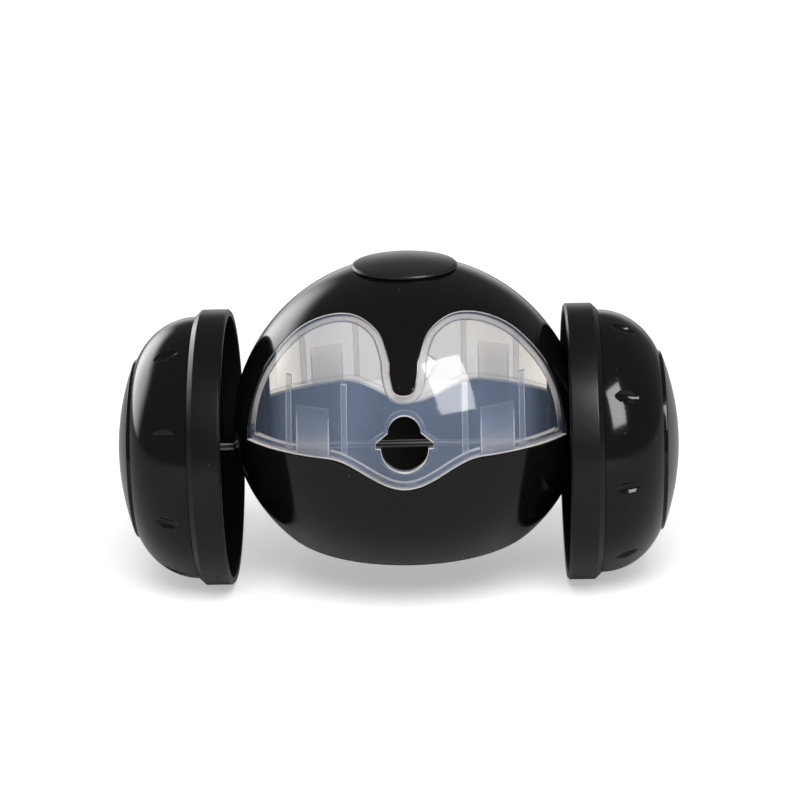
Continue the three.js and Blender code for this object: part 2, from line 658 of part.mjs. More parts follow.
const leftWheel = wheelGroup('left', LEFT_DIMPLE_TURN);
leftWheel.position.set(-RIM_X, 0, AXLE_Z);
leftWheel.rotation.z = Math.PI;
toy.add(leftWheel);

export default toy;
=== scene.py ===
# %% [markdown]
# A treat toy for a pet: a weighted ball with two milky windows hangs on a steel axle between two cup-shaped
# wheels. The imported CAD model is loaded first as a fixed frame, so that every smooth piece made here can be put
# exactly where its CAD node is.

# %% Load the frame
from math import asin, atan2, cos, pi, radians, sin, sqrt, tan

import bpy
from mathutils import Matrix, Vector


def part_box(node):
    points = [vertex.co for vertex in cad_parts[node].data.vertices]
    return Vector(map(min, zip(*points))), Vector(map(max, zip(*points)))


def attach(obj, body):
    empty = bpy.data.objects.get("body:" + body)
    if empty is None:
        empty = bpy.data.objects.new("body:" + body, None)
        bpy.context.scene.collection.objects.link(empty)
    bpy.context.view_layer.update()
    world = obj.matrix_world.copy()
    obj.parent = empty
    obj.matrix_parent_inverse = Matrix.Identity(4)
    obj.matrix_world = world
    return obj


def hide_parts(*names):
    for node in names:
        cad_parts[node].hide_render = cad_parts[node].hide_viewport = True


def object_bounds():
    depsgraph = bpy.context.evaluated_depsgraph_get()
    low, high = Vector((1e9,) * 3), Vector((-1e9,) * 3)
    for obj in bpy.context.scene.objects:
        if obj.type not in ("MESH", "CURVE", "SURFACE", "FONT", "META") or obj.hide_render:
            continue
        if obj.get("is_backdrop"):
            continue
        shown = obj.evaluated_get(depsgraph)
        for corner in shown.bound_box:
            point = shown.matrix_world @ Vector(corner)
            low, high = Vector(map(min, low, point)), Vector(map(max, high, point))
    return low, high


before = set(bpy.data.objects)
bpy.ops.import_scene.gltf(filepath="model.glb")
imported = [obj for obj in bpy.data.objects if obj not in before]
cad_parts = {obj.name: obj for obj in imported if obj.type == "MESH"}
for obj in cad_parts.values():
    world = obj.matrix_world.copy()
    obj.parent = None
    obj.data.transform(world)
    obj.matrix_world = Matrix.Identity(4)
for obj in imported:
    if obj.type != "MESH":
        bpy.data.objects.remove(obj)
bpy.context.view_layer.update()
MM = 0.001
print("CAD nodes:", len(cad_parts))

# %% [markdown]
# The photograph looks at the toy from a little above and almost straight from the front, through a long lens. A
# camera is set up from three angles, a distance and the point that it looks at: its back vector is built from the
# azimuth and the elevation, and a small roll tips the picture, because the toy leans a little in the photograph.

# %% Camera
AZIMUTH = radians(1.5)
ELEVATION = radians(14)
ROLL = radians(-1.35)
CAMERA_DISTANCE = 0.979
LOOK_AT = Vector((0.0009, 0, 0.0717))
LENS, SENSOR = 112.9, 36


def deselect():
    bpy.ops.object.select_all(action="DESELECT")


def place_camera():
    back = Vector((sin(AZIMUTH) * cos(ELEVATION), -cos(AZIMUTH) * cos(ELEVATION), sin(ELEVATION)))
    right = Vector((cos(AZIMUTH), sin(AZIMUTH), 0))
    up = back.cross(right)
    tipped_right = right * cos(ROLL) + up * sin(ROLL)
    tipped_up = up * cos(ROLL) - right * sin(ROLL)
    turn = Matrix((tipped_right, tipped_up, back)).transposed().to_4x4()
    deselect()
    bpy.ops.object.camera_add()
    camera = bpy.context.object
    camera.matrix_world = Matrix.Translation(LOOK_AT + back * CAMERA_DISTANCE) @ turn
    camera.data.lens = LENS
    camera.data.sensor_width = SENSOR
    bpy.context.scene.camera = camera
    return camera


camera = place_camera()
print("camera at", [round(c, 3) for c in camera.location])

# %% [markdown]
# Almost every piece of this toy is round, so it can be turned like on a lathe: half of its cross-section is drawn
# once and spun round an axis. The outline is drawn by pulling one vertex from point to point with extrude. It is
# listed as corners of radius, height and rounding, because moulded plastic has no sharp corners, and the rounding
# of each corner is what catches the light.

# %% Outlines
LONGEST_CUT = 0.48


def bent(start, middle, end, t):
    return start * (1 - t) ** 2 + middle * (2 * t * (1 - t)) + end * t ** 2


def rounded(corners, closed=True, steps=5):
    points = []
    for i, (radius, height, rounding) in enumerate(corners):
        here = Vector((radius, height))
        if rounding == 0:
            points.append(here)
            continue
        to_last = Vector(corners[i - 1][:2]) - here
        to_next = Vector(corners[(i + 1) % len(corners)][:2]) - here
        cut = rounding / tan(to_last.angle(to_next) / 2)
        cut = min(cut, LONGEST_CUT * to_last.length, LONGEST_CUT * to_next.length)
        start = here + to_last.normalized() * cut
        end = here + to_next.normalized() * cut
        points += [bent(start, here, end, k / steps) for k in range(steps + 1)]
    return points + points[:1] if closed else points


# %% Turning
RIGHT, UP = Vector((1, 0, 0)), Vector((0, 0, 1))
AXES = {"X": (RIGHT, UP), "-X": (-RIGHT, UP), "Z": (UP, RIGHT), "-Z": (-UP, RIGHT)}
SAME_SPOT = 0.002 * MM
SMOOTH_BELOW = 38


def close_mesh(piece):
    bpy.context.view_layer.objects.active = piece
    bpy.ops.object.mode_set(mode="EDIT")
    bpy.ops.mesh.select_all(action="SELECT")
    bpy.ops.mesh.remove_doubles(threshold=SAME_SPOT)
    bpy.ops.mesh.normals_make_consistent(inside=False)
    bpy.ops.object.mode_set(mode="OBJECT")
    bpy.ops.object.shade_smooth_by_angle(angle=radians(SMOOTH_BELOW))
    return piece


def turned(name, outline, middle, axis, steps=96):
    along, outwards = AXES[axis]
    points = [(Vector(middle) + outwards * radius + along * height) * MM for radius, height in outline]
    deselect()
    bpy.ops.mesh.primitive_plane_add(size=MM)
    piece = bpy.context.object
    piece.name = name
    bpy.ops.object.mode_set(mode="EDIT")
    bpy.ops.mesh.merge(type="CENTER")
    bpy.ops.transform.translate(value=points[0])
    for last, point in zip(points, points[1:]):
        bpy.ops.mesh.extrude_vertices_move(TRANSFORM_OT_translate={"value": point - last})
    bpy.ops.mesh.select_all(action="SELECT")
    bpy.ops.mesh.remove_doubles(threshold=SAME_SPOT)
    bpy.ops.mesh.select_all(action="SELECT")
    bpy.ops.mesh.spin(steps=steps, angle=2 * pi, center=Vector(middle) * MM, axis=along)
    bpy.ops.object.mode_set(mode="OBJECT")
    return close_mesh(piece)


# %% Joining, copying and cutting
def joined(pieces):
    deselect()
    for piece in pieces:
        piece.select_set(True)
    bpy.context.view_layer.objects.active = pieces[0]
    bpy.ops.object.join()
    return pieces[0]


def copied(piece, name, move):
    again = piece.copy()
    again.data = piece.data.copy()
    again.name = name
    again.data.transform(move)
    bpy.context.scene.collection.objects.link(again)
    return again


def cut_away(piece, tool):
    cut = piece.modifiers.new("cut", "BOOLEAN")
    cut.operation = "DIFFERENCE"
    cut.solver = "EXACT"
    cut.object = tool
    bpy.context.view_layer.objects.active = piece
    bpy.ops.object.modifier_apply(modifier=cut.name)
    bpy.data.objects.remove(tool)


# %% [markdown]
# Two more ways to make a shape are needed. A sheet with a thickness, such as a shell with two edges, has the same
# faces as a torus: one way runs round, the other way runs over the outside, round one edge, back along the inside
# and round the other edge. Blender's torus has at most 256 segments, so a grid is rolled up in both directions
# instead: each vertex is put in its place between two loops of equal length, and merging the doubles closes it. A
# block that follows a curved wall, such as a rib, starts as a subdivided cube in the same way. Both also write
# values onto their vertices that a finish can read: dense says how milky the plastic is there, on faces and on
# edges, and it also carries painted light and shade, such as painted highlights on the edges; across says how far
# the vertex lies from the first loop to the second.

# %% Sheets and blocks
ROUND_IN, BACK_ROUND = 0.29, 0.4
EDGE_ROW = 1.6
BEVEL_ABOVE = 50


def sheet_section(rows, wall, rounding):
    section = [(k / rows, 0, 0) for k in range(rows + 1)]
    round_in, back_edge = ROUND_IN * rounding, wall - BACK_ROUND * rounding
    far = [(1, -round_in, round_in), (1, 0, rounding), (1, 0, back_edge)]
    back = [(k / rows, 0, wall) for k in range(rows, -1, -1)]
    near = [(0, 0, back_edge), (0, 0, rounding), (0, round_in, round_in)]
    return section + far + back + near


def new_values(piece, *names):
    for name in names:
        piece.data.attributes.new(name, "FLOAT", "POINT")
    return [piece.data.attributes[name].data for name in names]


def painted(piece, *names):
    return zip(piece.data.vertices, *(piece.data.attributes[name].data for name in names))


def thick_sheet(name, start_loop, end_loop, mix, place, top=0, wall=2, rows=20, rounding=0.35, haze=(0, 0)):
    section = sheet_section(rows, wall, rounding)
    columns, lines = len(start_loop), len(section)
    deselect()
    bpy.ops.mesh.primitive_grid_add(x_subdivisions=columns, y_subdivisions=lines, size=1)
    piece = bpy.context.object
    piece.name = name
    dense, across = new_values(piece, "dense", "across")
    for vertex in piece.data.vertices:
        i = round((vertex.co.x + 0.5) * columns) % columns
        j = round((vertex.co.y + 0.5) * lines) % lines
        start, end = start_loop[i], end_loop[i]
        share, offset, depth = section[j]
        length = (place(end, 0) - place(start, 0)).length
        on_face = offset == 0 and depth in (0, wall)
        inset = rounding / length if on_face else 0
        along = inset + share * (1 - 2 * inset) + offset / length
        dense[vertex.index].value = haze[0] if on_face else haze[1]
        across[vertex.index].value = along
        vertex.co = place(mix(start, end, along), top + depth) * MM
    return close_mesh(piece)


def block(name, place, cuts=8, rounding=0.3, haze=(0, 0), fade=0):
    middle = place(0.5, 0.5, 0.5)
    spans = [2 * (place(*side) - middle).length for side in ((1, 0.5, 0.5), (0.5, 1, 0.5), (0.5, 0.5, 1))]
    edges = [min(EDGE_ROW * rounding / span, 1 / (cuts + 1)) for span in spans]
    deselect()
    bpy.ops.mesh.primitive_cube_add(size=1)
    piece = bpy.context.object
    piece.name = name
    bpy.ops.object.mode_set(mode="EDIT")
    bpy.ops.mesh.select_all(action="SELECT")
    bpy.ops.mesh.subdivide(number_cuts=cuts)
    bpy.ops.object.mode_set(mode="OBJECT")
    dense, = new_values(piece, "dense")
    for vertex in piece.data.vertices:
        rows = [round((c + 0.5) * (cuts + 1)) for c in vertex.co]
        at_side = [row in (0, cuts + 1) for row in rows]
        spot = [row // cuts if side else edge + (1 - 2 * edge) * (row - 1) / (cuts - 1)
                for row, side, edge in zip(rows, at_side, edges)]
        value = haze[1] if sum(at_side) > 1 else haze[0]
        dense[vertex.index].value = value * (1 - fade * spot[1] ** 3)
        vertex.co = place(*spot) * MM
    close_mesh(piece)
    soften = piece.modifiers.new("soften", "BEVEL")
    soften.width = rounding * MM
    soften.segments = 2
    soften.limit_method = "ANGLE"
    soften.angle_limit = radians(BEVEL_ABOVE)
    bpy.ops.object.modifier_apply(modifier=soften.name)
    return piece


# %% [markdown]
# The ball is a sphere above its parting line and a flatter bowl below it, in black plastic, with a window in the
# front and one in the back. Everything on the ball is drawn as it looks from the front, in x and z, and then pushed
# back onto the surface, so one function gives the surface at any depth under the outside. Its sizes are in
# millimetres from the middle of the ball, which is found from the box of the CAD shell.

# %% Surface of the ball
BALL_R = 68.8
PARTING = 6
WIDE_R = sqrt(BALL_R ** 2 - PARTING ** 2)
BOWL_DEPTH = 62.1
BASE = -44
shell_low, shell_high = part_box("upper_shell")
BALL = Vector(((shell_low.x + shell_high.x) / 2 / MM, 0, shell_low.z / MM - PARTING))


def ball_radius(z, depth=0):
    if z >= PARTING:
        return sqrt(max((BALL_R - depth) ** 2 - z * z, 0))
    drop = (PARTING - z) / (BOWL_DEPTH - depth)
    return (WIDE_R - depth) * sqrt(max(1 - drop * drop, 0))


def on_ball(spot, depth):
    x, z = spot
    return BALL + Vector((x, -sqrt(max(ball_radius(z, depth) ** 2 - x * x, 0)), z))


print("middle of the ball at", [round(c, 2) for c in BALL], "mm")

# %% [markdown]
# The window has two lobes with a black peak between them, and its lower edge drops round the treat outlet like a
# chin. The top is a smooth curve through a few points measured in ball radii, and the chin is one wave of a cosine.
# The outlet is a keyhole: a round head over a wider round foot, with a small ear at each side. Both outlines are
# drawn as right halves from top to bottom, in five stretches that belong together, and then mirrored.

# %% Outlines of the window and the outlet
WINDOW_TOP = [(0, 0.43), (0.05, 0.449), (0.072, 0.529), (0.081, 0.61), (0.138, 0.733), (0.272, 0.8),
              (0.449, 0.774), (0.629, 0.665), (0.796, 0.454), (0.875, 0.203), (0.883, -0.16)]
CHIN_DROP = 11.04
CHIN_HALF = 28.98
HEAD_R, HEAD_Z = 6, 16.4
FOOT_R, FOOT_Z = 8.65, 10.6
EAR_X, EAR_TOP = 10.6, 12.6
STRETCHES = (28, 22, 56, 30, 34)
CURVE_STEPS = 24
FOOT_STEPS = 90
SHOULDER_Z = 43


def smooth_curve(points):
    curve = []
    ends = [points[0]] + points + [points[-1]]
    for a, b, c, d in zip(ends, ends[1:], ends[2:], ends[3:]):
        for k in range(CURVE_STEPS):
            t = k / CURVE_STEPS
            bend = (2 * a - 5 * b + 4 * c - d) * t ** 2 + (3 * b - a - 3 * c + d) * t ** 3
            curve.append(b + ((c - a) * t + bend) / 2)
    return curve + [points[-1]]


def spread(path, count):
    lengths = [0]
    for last, point in zip(path, path[1:]):
        lengths.append(lengths[-1] + (point - last).length)
    spots = []
    k = 0
    for i in range(count):
        want = lengths[-1] * i / count
        while lengths[k + 1] < want:
            k += 1
        share = (want - lengths[k]) / max(lengths[k + 1] - lengths[k], 1e-9)
        spots.append(path[k].lerp(path[k + 1], share))
    return spots


def chin(x):
    drop = CHIN_DROP * (1 + cos(pi * x / CHIN_HALF)) / 2 if abs(x) < CHIN_HALF else 0
    return PARTING - drop


def arc(middle_z, radius, start, end):
    angles = [radians(start + (end - start) * k / CURVE_STEPS) for k in range(CURVE_STEPS + 1)]
    return [Vector((radius * cos(a), middle_z + radius * sin(a))) for a in angles]


def flipped(points):
    return [Vector((-p.x, p.y)) for p in reversed(points)]


half_top = [Vector((x, z)) * BALL_R for x, z in WINDOW_TOP]
mirrored_top = flipped(half_top[1:])
curve = smooth_curve(mirrored_top + half_top)
top_edge = [p for p in curve[len(mirrored_top) * CURVE_STEPS:] if p.y > PARTING]
corner = Vector((top_edge[-1].x, PARTING))
foot_x = [corner.x * (1 - k / FOOT_STEPS) for k in range(FOOT_STEPS + 1)]
foot_edge = [Vector((x, chin(x))) for x in foot_x]
shoulder = min(range(len(top_edge)), key=lambda k: abs(top_edge[k].y - SHOULDER_Z))
lobe = max(range(len(top_edge)), key=lambda k: top_edge[k].y)
knee = min(range(len(foot_edge)), key=lambda k: abs(foot_x[k] - CHIN_HALF))
window_parts = [top_edge[:shoulder + 1], top_edge[shoulder:lobe + 1], top_edge[lobe:] + [corner],
                foot_edge[:knee + 1], foot_edge[knee:]]
print("window corner at", [round(c, 1) for c in corner], "mm")


# %% Loops of equal length
def outlet_parts(wider=0):
    head = arc(HEAD_Z, HEAD_R + wider, 90, 0)
    ear = [Vector((EAR_X + wider, EAR_TOP + wider / 2)), Vector((EAR_X + wider, FOOT_Z - wider))]
    foot = arc(FOOT_Z, FOOT_R + wider, -8 if wider else 0, -90)
    half = CURVE_STEPS // 2
    return [head, [head[-1], ear[0]], ear, [ear[1]] + foot[:half + 1], foot[half:]]


def mirrored_loop(parts):
    right = []
    for part, count in zip(parts, STRETCHES):
        right += spread(part, count)
    bottom = parts[-1][-1]
    return right + [bottom] + flipped(right[1:])


def inset_loop(loop, top_inset, foot_inset, corner_inset):
    moved = []
    count = len(loop)
    for i, point in enumerate(loop):
        along = (loop[(i + 1) % count] - loop[i - 1]).normalized()
        side = 1 if point.x >= 0 else -1
        is_foot = point.y <= PARTING + 0.01
        spot = point + Vector((along.y, -along.x)) * (foot_inset if is_foot else top_inset)
        if abs(point.x) > CHIN_HALF:
            if is_foot:
                spot.x = side * min(abs(spot.x), corner.x - corner_inset)
            else:
                spot.y = max(spot.y, PARTING + foot_inset)
        moved.append(spot)
    return moved


window_loop = mirrored_loop(window_parts)
outlet_loop = mirrored_loop(outlet_parts())
print("points round the window and round the outlet:", len(window_loop), len(outlet_loop))

# %% [markdown]
# Each window is one moulding of milky plastic. Its panel runs from the outlet to the outline. On the inside it has
# a thick border, four upright ribs, two snap tabs that reach down behind the rim of the bowl, and a raised edge
# round the outlet. These are separate closed blocks pressed a little into the panel, so that light crosses more
# surfaces there and they look denser, as thick milky plastic does.

# %% Panel, border, ribs and tabs
WINDOW_WALL = 1.8
BACK_DEPTH = 4.1
PRESSED_IN = 1.7
SEAT_GAP = 0.25
BORDER_TOP, BORDER_FOOT, BORDER_CORNER = 3.4, 2.8, 4.6
OUTLET_RIM = 1.6
RIB_X, RIB_HALF = (22.2, 43.4), 1.1
RIB_FOOT, RIB_TOP = PARTING + 1.6, 32.4
TAB_X, TAB_HALF = 34.2, 6.3
TAB_TOP, TAB_FOOT = 23, -4
BEHIND_RIM = 2.6
# The second value of each haze is for edges: the high values there make the painted highlights on edges.
PANEL_HAZE, BORDER_HAZE, OUTLET_HAZE = (0.17, 0.95), (0.4, 0.95), (0.05, 0.3)
RIB_HAZE, TAB_HAZE = (0.22, 0.9), (0.345, 0.9)


def flat_mix(start, end, share):
    return start.lerp(end, share)


def wall_block(name, middle, half, z_range, haze, fade=0, rounding=0.3):
    def place(u, v, w):
        x = middle - half + 2 * half * u
        z = z_range[0] + (z_range[1] - z_range[0]) * v
        front = BEHIND_RIM if z < PARTING + 0.3 else PRESSED_IN
        return on_ball((x, z), front + (BACK_DEPTH - front) * w)
    return block(name, place, 10, rounding, haze, fade)


seat = inset_loop(window_loop, SEAT_GAP, SEAT_GAP, SEAT_GAP)
inner_loop = inset_loop(window_loop, BORDER_TOP, BORDER_FOOT, BORDER_CORNER)
rim_loop = mirrored_loop(outlet_parts(OUTLET_RIM))
strip = BACK_DEPTH - PRESSED_IN
sheets = [("panel", outlet_loop, seat, 0, WINDOW_WALL, 22, PANEL_HAZE),
          ("border", inner_loop, seat, PRESSED_IN, strip, 5, BORDER_HAZE),
          ("outlet rim", outlet_loop, rim_loop, PRESSED_IN, strip, 2, OUTLET_HAZE)]
panel, border, outlet_rim = [thick_sheet(name, first, second, flat_mix, on_ball, top, wall, rows, 0.25, haze)
                             for name, first, second, top, wall, rows, haze in sheets]
fittings = []
for side in (-1, 1):
    fittings += [wall_block("rib", side * x, RIB_HALF, (RIB_FOOT, RIB_TOP), RIB_HAZE) for x in RIB_X]
    fittings.append(wall_block("tab", side * TAB_X, TAB_HALF, (TAB_FOOT, TAB_TOP), TAB_HAZE, 0.8, 0.45))
print("ribs and tabs:", len(fittings))

# %% [markdown]
# Real plastic bends light, so the same edge looks bright over a dark inside and dark over a light background. Bending
# light through so many thin walls takes long to render, so this light and shade is painted on the vertices instead:
# the dense edges are painted highlights. The border is clear where a tab stands before it, weak along its foot, which
# is painted shade where less light reaches it from below, and dense at the sides, where it is seen at a slant. The
# panel is clearer there, which paints its sides darker over the dark inside. Over the light upper half the border's
# inner edge gets painted shade instead of haze. The back window is a copy turned by half a turn, and what lies inside
# it is painted fainter: painted light for the light from behind that shines through it, so that its ribs and tabs
# don't show dark.

# %% Painted haze, front and back window
SIDE_FROM, SIDE_SPAN = 43, 8
SIDE_DENSER, SIDE_CLEARER = 0.9, 0.6
LIGHT_FROM, LIGHT_SPAN = 22, 12
INNER_EDGE, INNER_EDGE_HAZE, BORDER_SHADE = 0.09, 0.05, 0.04
FOOT_FADE, FOOT_LEAST, FOOT_END = 14, 0.2, 0.3
TAB_GAP_HAZE = 0.1
BACK_FADE = 0.05
EDGE_HAZE = 0.5


def clamped(value, low=0):
    return min(max(value, low), 1)


def side_share(x):
    return clamped((abs(x) - SIDE_FROM) / SIDE_SPAN)


def paint_border():
    new_values(border, "shade")
    for vertex, dense, across, shade in painted(border, "dense", "across", "shade"):
        spot = vertex.co / MM - BALL
        # Over the light upper half the inner edge gets painted shade, and the rest of the border a little of it.
        light = clamped((spot.z - LIGHT_FROM) / LIGHT_SPAN)
        shade.value = light * BORDER_SHADE
        if across.value < INNER_EDGE:
            shade.value = light
            dense.value += (INNER_EDGE_HAZE - dense.value) * light
        # The haze fades towards the foot: painted shade, as less light reaches the border from below. At the sides it
        # is denser.
        above_foot = (spot.z - PARTING) / FOOT_FADE
        if above_foot < FOOT_END and abs(abs(spot.x) - TAB_X) < TAB_HALF:
            dense.value = TAB_GAP_HAZE
        elif dense.value < EDGE_HAZE:
            dense.value *= clamped(above_foot, FOOT_LEAST) * (1 + SIDE_DENSER * side_share(spot.x))


def about_ball(turn):
    return Matrix.Translation(BALL * MM) @ turn.to_4x4() @ Matrix.Translation(-BALL * MM)


paint_border()
# The panel is clearer at its sides, so they look darker over the dark inside: painted shade.
for vertex, dense in painted(panel, "dense"):
    if dense.value < EDGE_HAZE:
        dense.value *= 1 - SIDE_CLEARER * side_share(vertex.co.x / MM - BALL.x)
front_window = joined([panel, border, outlet_rim] + fittings)
front_window.name = "window_front"
back_window = copied(front_window, "window_back", about_ball(Matrix.Rotation(pi, 4, "Z")))
for vertex, dense, shade in painted(back_window, "dense", "shade"):
    shade.value = 0
    # Painted light: the back window's fittings are made fainter, for the light from behind that shines through them.
    if (vertex.co / MM - BALL).length < BALL_R - WINDOW_WALL - 0.1:
        dense.value *= BACK_FADE
print("window faces:", len(front_window.data.polygons))

# %% [markdown]
# The upper shell covers the ball like a helmet: it starts at the round filler hole and ends at the window tops and,
# at the sides, at the parting line. It is a thick sheet between the circle and that edge. The points between them
# follow great circles, so that they stay on the sphere, and the circle's points are shared out so that the lines
# reach the steep edges beside the windows without crossing.

# %% Upper shell
SHELL_WALL = 2.2
HOLE_R = 15
LEAN = Matrix.Rotation(radians(3.5), 3, "X")
LOBE_AT, CORNER_AT = 14, 75
SIDE_STEPS = 26
TO_LOBE, TO_CORNER = sum(STRETCHES[:2]), sum(STRETCHES[:3])


def heading(azimuth, z):
    flat = sqrt(max(1 - z * z, 0))
    return Vector((sin(azimuth) * flat, -cos(azimuth) * flat, z))


def ball_mix(start, end, share):
    return start.slerp(end, share)


def on_sphere(direction, depth):
    return BALL + direction * (BALL_R - depth)


def quarter_edge():
    edge = []
    for part, count in zip(window_parts[:3], STRETCHES):
        edge += spread(part, count)
    edge = [Vector((p.x, -sqrt(BALL_R ** 2 - p.x ** 2 - p.y ** 2), p.y)).normalized() for p in edge]
    corner_azimuth = asin(corner.x / WIDE_R)
    for k in range(SIDE_STEPS):
        azimuth = corner_azimuth + (pi / 2 - corner_azimuth) * k / SIDE_STEPS
        edge.append(heading(azimuth, PARTING / BALL_R))
    return edge


def quarter_azimuths(edge):
    azimuths = []
    for i, direction in enumerate(edge):
        own = atan2(direction.x, -direction.y)
        if i <= TO_LOBE:
            azimuths.append(max(own, radians(LOBE_AT) * i / TO_LOBE))
        elif i < TO_CORNER:
            azimuths.append(max(own, radians(CORNER_AT) * ((i - TO_LOBE) / STRETCHES[2])))
        else:
            azimuths.append(radians(CORNER_AT + (90 - CORNER_AT) * (i - TO_CORNER) / SIDE_STEPS))
    return azimuths


def round_the_ball(quarter):
    flip = [Vector((v.x, -v.y, v.z)) for v in reversed(quarter[1:])]
    z = quarter[-1].z
    back = Vector((quarter[0].x, -quarter[0].y, quarter[0].z))
    right = quarter + [Vector((sqrt(1 - z * z), 0, z))] + flip + [back]
    left = [Vector((-v.x, v.y, v.z)) for v in reversed(right[1:-1])]
    return right + left


quarter = quarter_edge()
hole_height = sqrt(1 - (HOLE_R / BALL_R) ** 2)
hole = round_the_ball([heading(a, hole_height) for a in quarter_azimuths(quarter)])
leaning_hole = [LEAN @ direction for direction in hole]
shell = thick_sheet("upper_shell_smooth", leaning_hole, round_the_ball(quarter), ball_mix, on_sphere, 0,
                    SHELL_WALL, 44, 0.4)
print("shell faces:", len(shell.data.polygons))

# %% [markdown]
# Four screw bosses stand in the sides of the shell, over posts in the bowl. They show as dark uprights through the
# outer parts of the windows. A boss is a ring-shaped sheet that is bent straight: round it runs the ring, over it
# runs its height, and its foot or its top follows the inner wall of the ball.

# %% Screw bosses and posts
POST_R = 4.2
POST_HOLE = 2.9
SCREW_X, SCREW_Y = WIDE_R - 9.7, 12
BOSS_HOLE, BOSS_TOP = 1.6, PARTING + 15
POST_STEPS = 28
SEAT_Z = PARTING - 9
places = [(SCREW_X, SCREW_Y), (-SCREW_X, SCREW_Y), (-SCREW_X, -SCREW_Y), (SCREW_X, -SCREW_Y)]


def wall_below(x, y, depth):
    reach = sqrt(x * x + y * y) / (WIDE_R - depth)
    return PARTING - (BOWL_DEPTH - depth) * sqrt(max(1 - reach * reach, 0.02))


def post(name, spot, hole, low, high):
    loop = [2 * pi * k / POST_STEPS for k in range(POST_STEPS)]

    def stand(point, depth):
        angle, share = point
        radius = POST_R - depth
        x, y = spot[0] + radius * cos(angle), spot[1] + radius * sin(angle)
        foot = low(x, y)
        return BALL + Vector((x, y, foot + (high(x, y) - foot) * share))

    def climb(start, end, share):
        return start[0], share
    feet, tops = [(a, 0) for a in loop], [(a, 1) for a in loop]
    return thick_sheet(name, feet, tops, climb, stand, 0, POST_R - hole, 6, 0.2)


def under_shell(x, y):
    limit = sqrt(max((BALL_R - 1.2) ** 2 - x * x - y * y, PARTING ** 2))
    return min(BOSS_TOP, max(limit, PARTING + 1))


def in_bowl(x, y):
    return wall_below(x, y, 1.0)


bosses = [post("boss", p, BOSS_HOLE, lambda x, y: PARTING + 0.05, under_shell) for p in places]
posts = [post("post", p, POST_HOLE, in_bowl, lambda x, y: PARTING - 0.35) for p in places]
shell = joined([shell] + bosses)
print("bosses and posts:", len(bosses), len(posts))

# %% [markdown]
# The bowl under the shell is a plain turned shape with a flat base, but its rim drops in front and behind to leave
# room for the chins of the windows. It is turned with a level rim first. Then the upper rows of its wall are slid
# down along the bowl's own curve where the chins are, inside and outside alike.

# %% Lower bowl
BASE_FLAT_R = 27
SHOULDER_R = WIDE_R - 19.5
RIM_GAP = 0.35
SLIDE_FROM = -24


def bowl_wall(depth, count):
    widest, deepest = WIDE_R - depth, BOWL_DEPTH - depth
    turn = asin(sqrt(1 - (SHOULDER_R / WIDE_R) ** 2))
    meet = Vector((widest * cos(turn), PARTING - deepest * sin(turn)))
    flat = Vector((BASE_FLAT_R - depth / 3, BASE + depth))
    slope = deepest * cos(turn) / (widest * sin(turn))
    bend = Vector((meet.x - (meet.y - flat.y) / slope, flat.y))
    points = [bent(flat, bend, meet, k / 12) for k in range(12)]
    lowest = asin(RIM_GAP / deepest)
    for k in range(count + 1):
        angle = turn + (lowest - turn) * k / count
        points.append(Vector((widest * cos(angle), PARTING - deepest * sin(angle))))
    return points


outside = bowl_wall(0, 44)
inside = bowl_wall(SHELL_WALL, 44)
rim = outside[-1]
lip = [Vector((rim.x - 0.05, rim.y + 0.05)), Vector((rim.x - 0.35, rim.y + 0.12))]
base_rows = [Vector((BASE_FLAT_R * k / 6, BASE)) for k in range(6)]
floor_rows = [Vector(((BASE_FLAT_R - 1) * k / 6, BASE + SHELL_WALL)) for k in range(6)]
outline = base_rows + outside + lip + list(reversed(inside)) + list(reversed(floor_rows))
bowl = turned("lower_bowl_smooth", outline, BALL, "Z", steps=288)
for vertex in bowl.data.vertices:
    spot = vertex.co / MM - BALL
    if spot.z > SLIDE_FROM:
        lower = chin(spot.x) - PARTING if abs(spot.y) > WIDE_R / 2 else 0
        z = spot.z + lower * (spot.z - SLIDE_FROM) / (PARTING - SLIDE_FROM)
        scale = ball_radius(z) / ball_radius(min(spot.z, PARTING))
        vertex.co = (BALL + Vector((spot.x * scale, spot.y * scale, z))) * MM
print("bowl faces:", len(bowl.data.polygons))

# %% [markdown]
# The shell screws go in from below, so the underside has four wells. Each is cut through the bowl with a cylinder,
# under a post that lines it. A boss at each side of the bowl carries the axle, and a low ring on the floor of the
# bowl keeps the weight in its place.

# %% Screw wells, axle bosses and weight pocket
WELL_LENGTH = 60
AXLE_DROP = -5.2
AXLE_HOLE = 1.75
AXLE_BOSS_R, AXLE_BOSS_LENGTH = 5.5, 9
THRUST = WIDE_R * sqrt(1 - ((PARTING - AXLE_DROP) / BOWL_DEPTH) ** 2) + 0.8
POCKET_IN, POCKET_OUT = 24.5, 26.3
POCKET_LOW, POCKET_HIGH = BASE + 2.0, BASE + 10.8
deselect()
cutters = []
for x, y in places:
    middle = BALL + Vector((x, y, SEAT_Z - WELL_LENGTH / 2))
    bpy.ops.mesh.primitive_cylinder_add(vertices=40, radius=POST_HOLE * MM, depth=WELL_LENGTH * MM,
                                        location=middle * MM)
    cutters.append(bpy.context.object)
cut_away(bowl, joined(cutters))

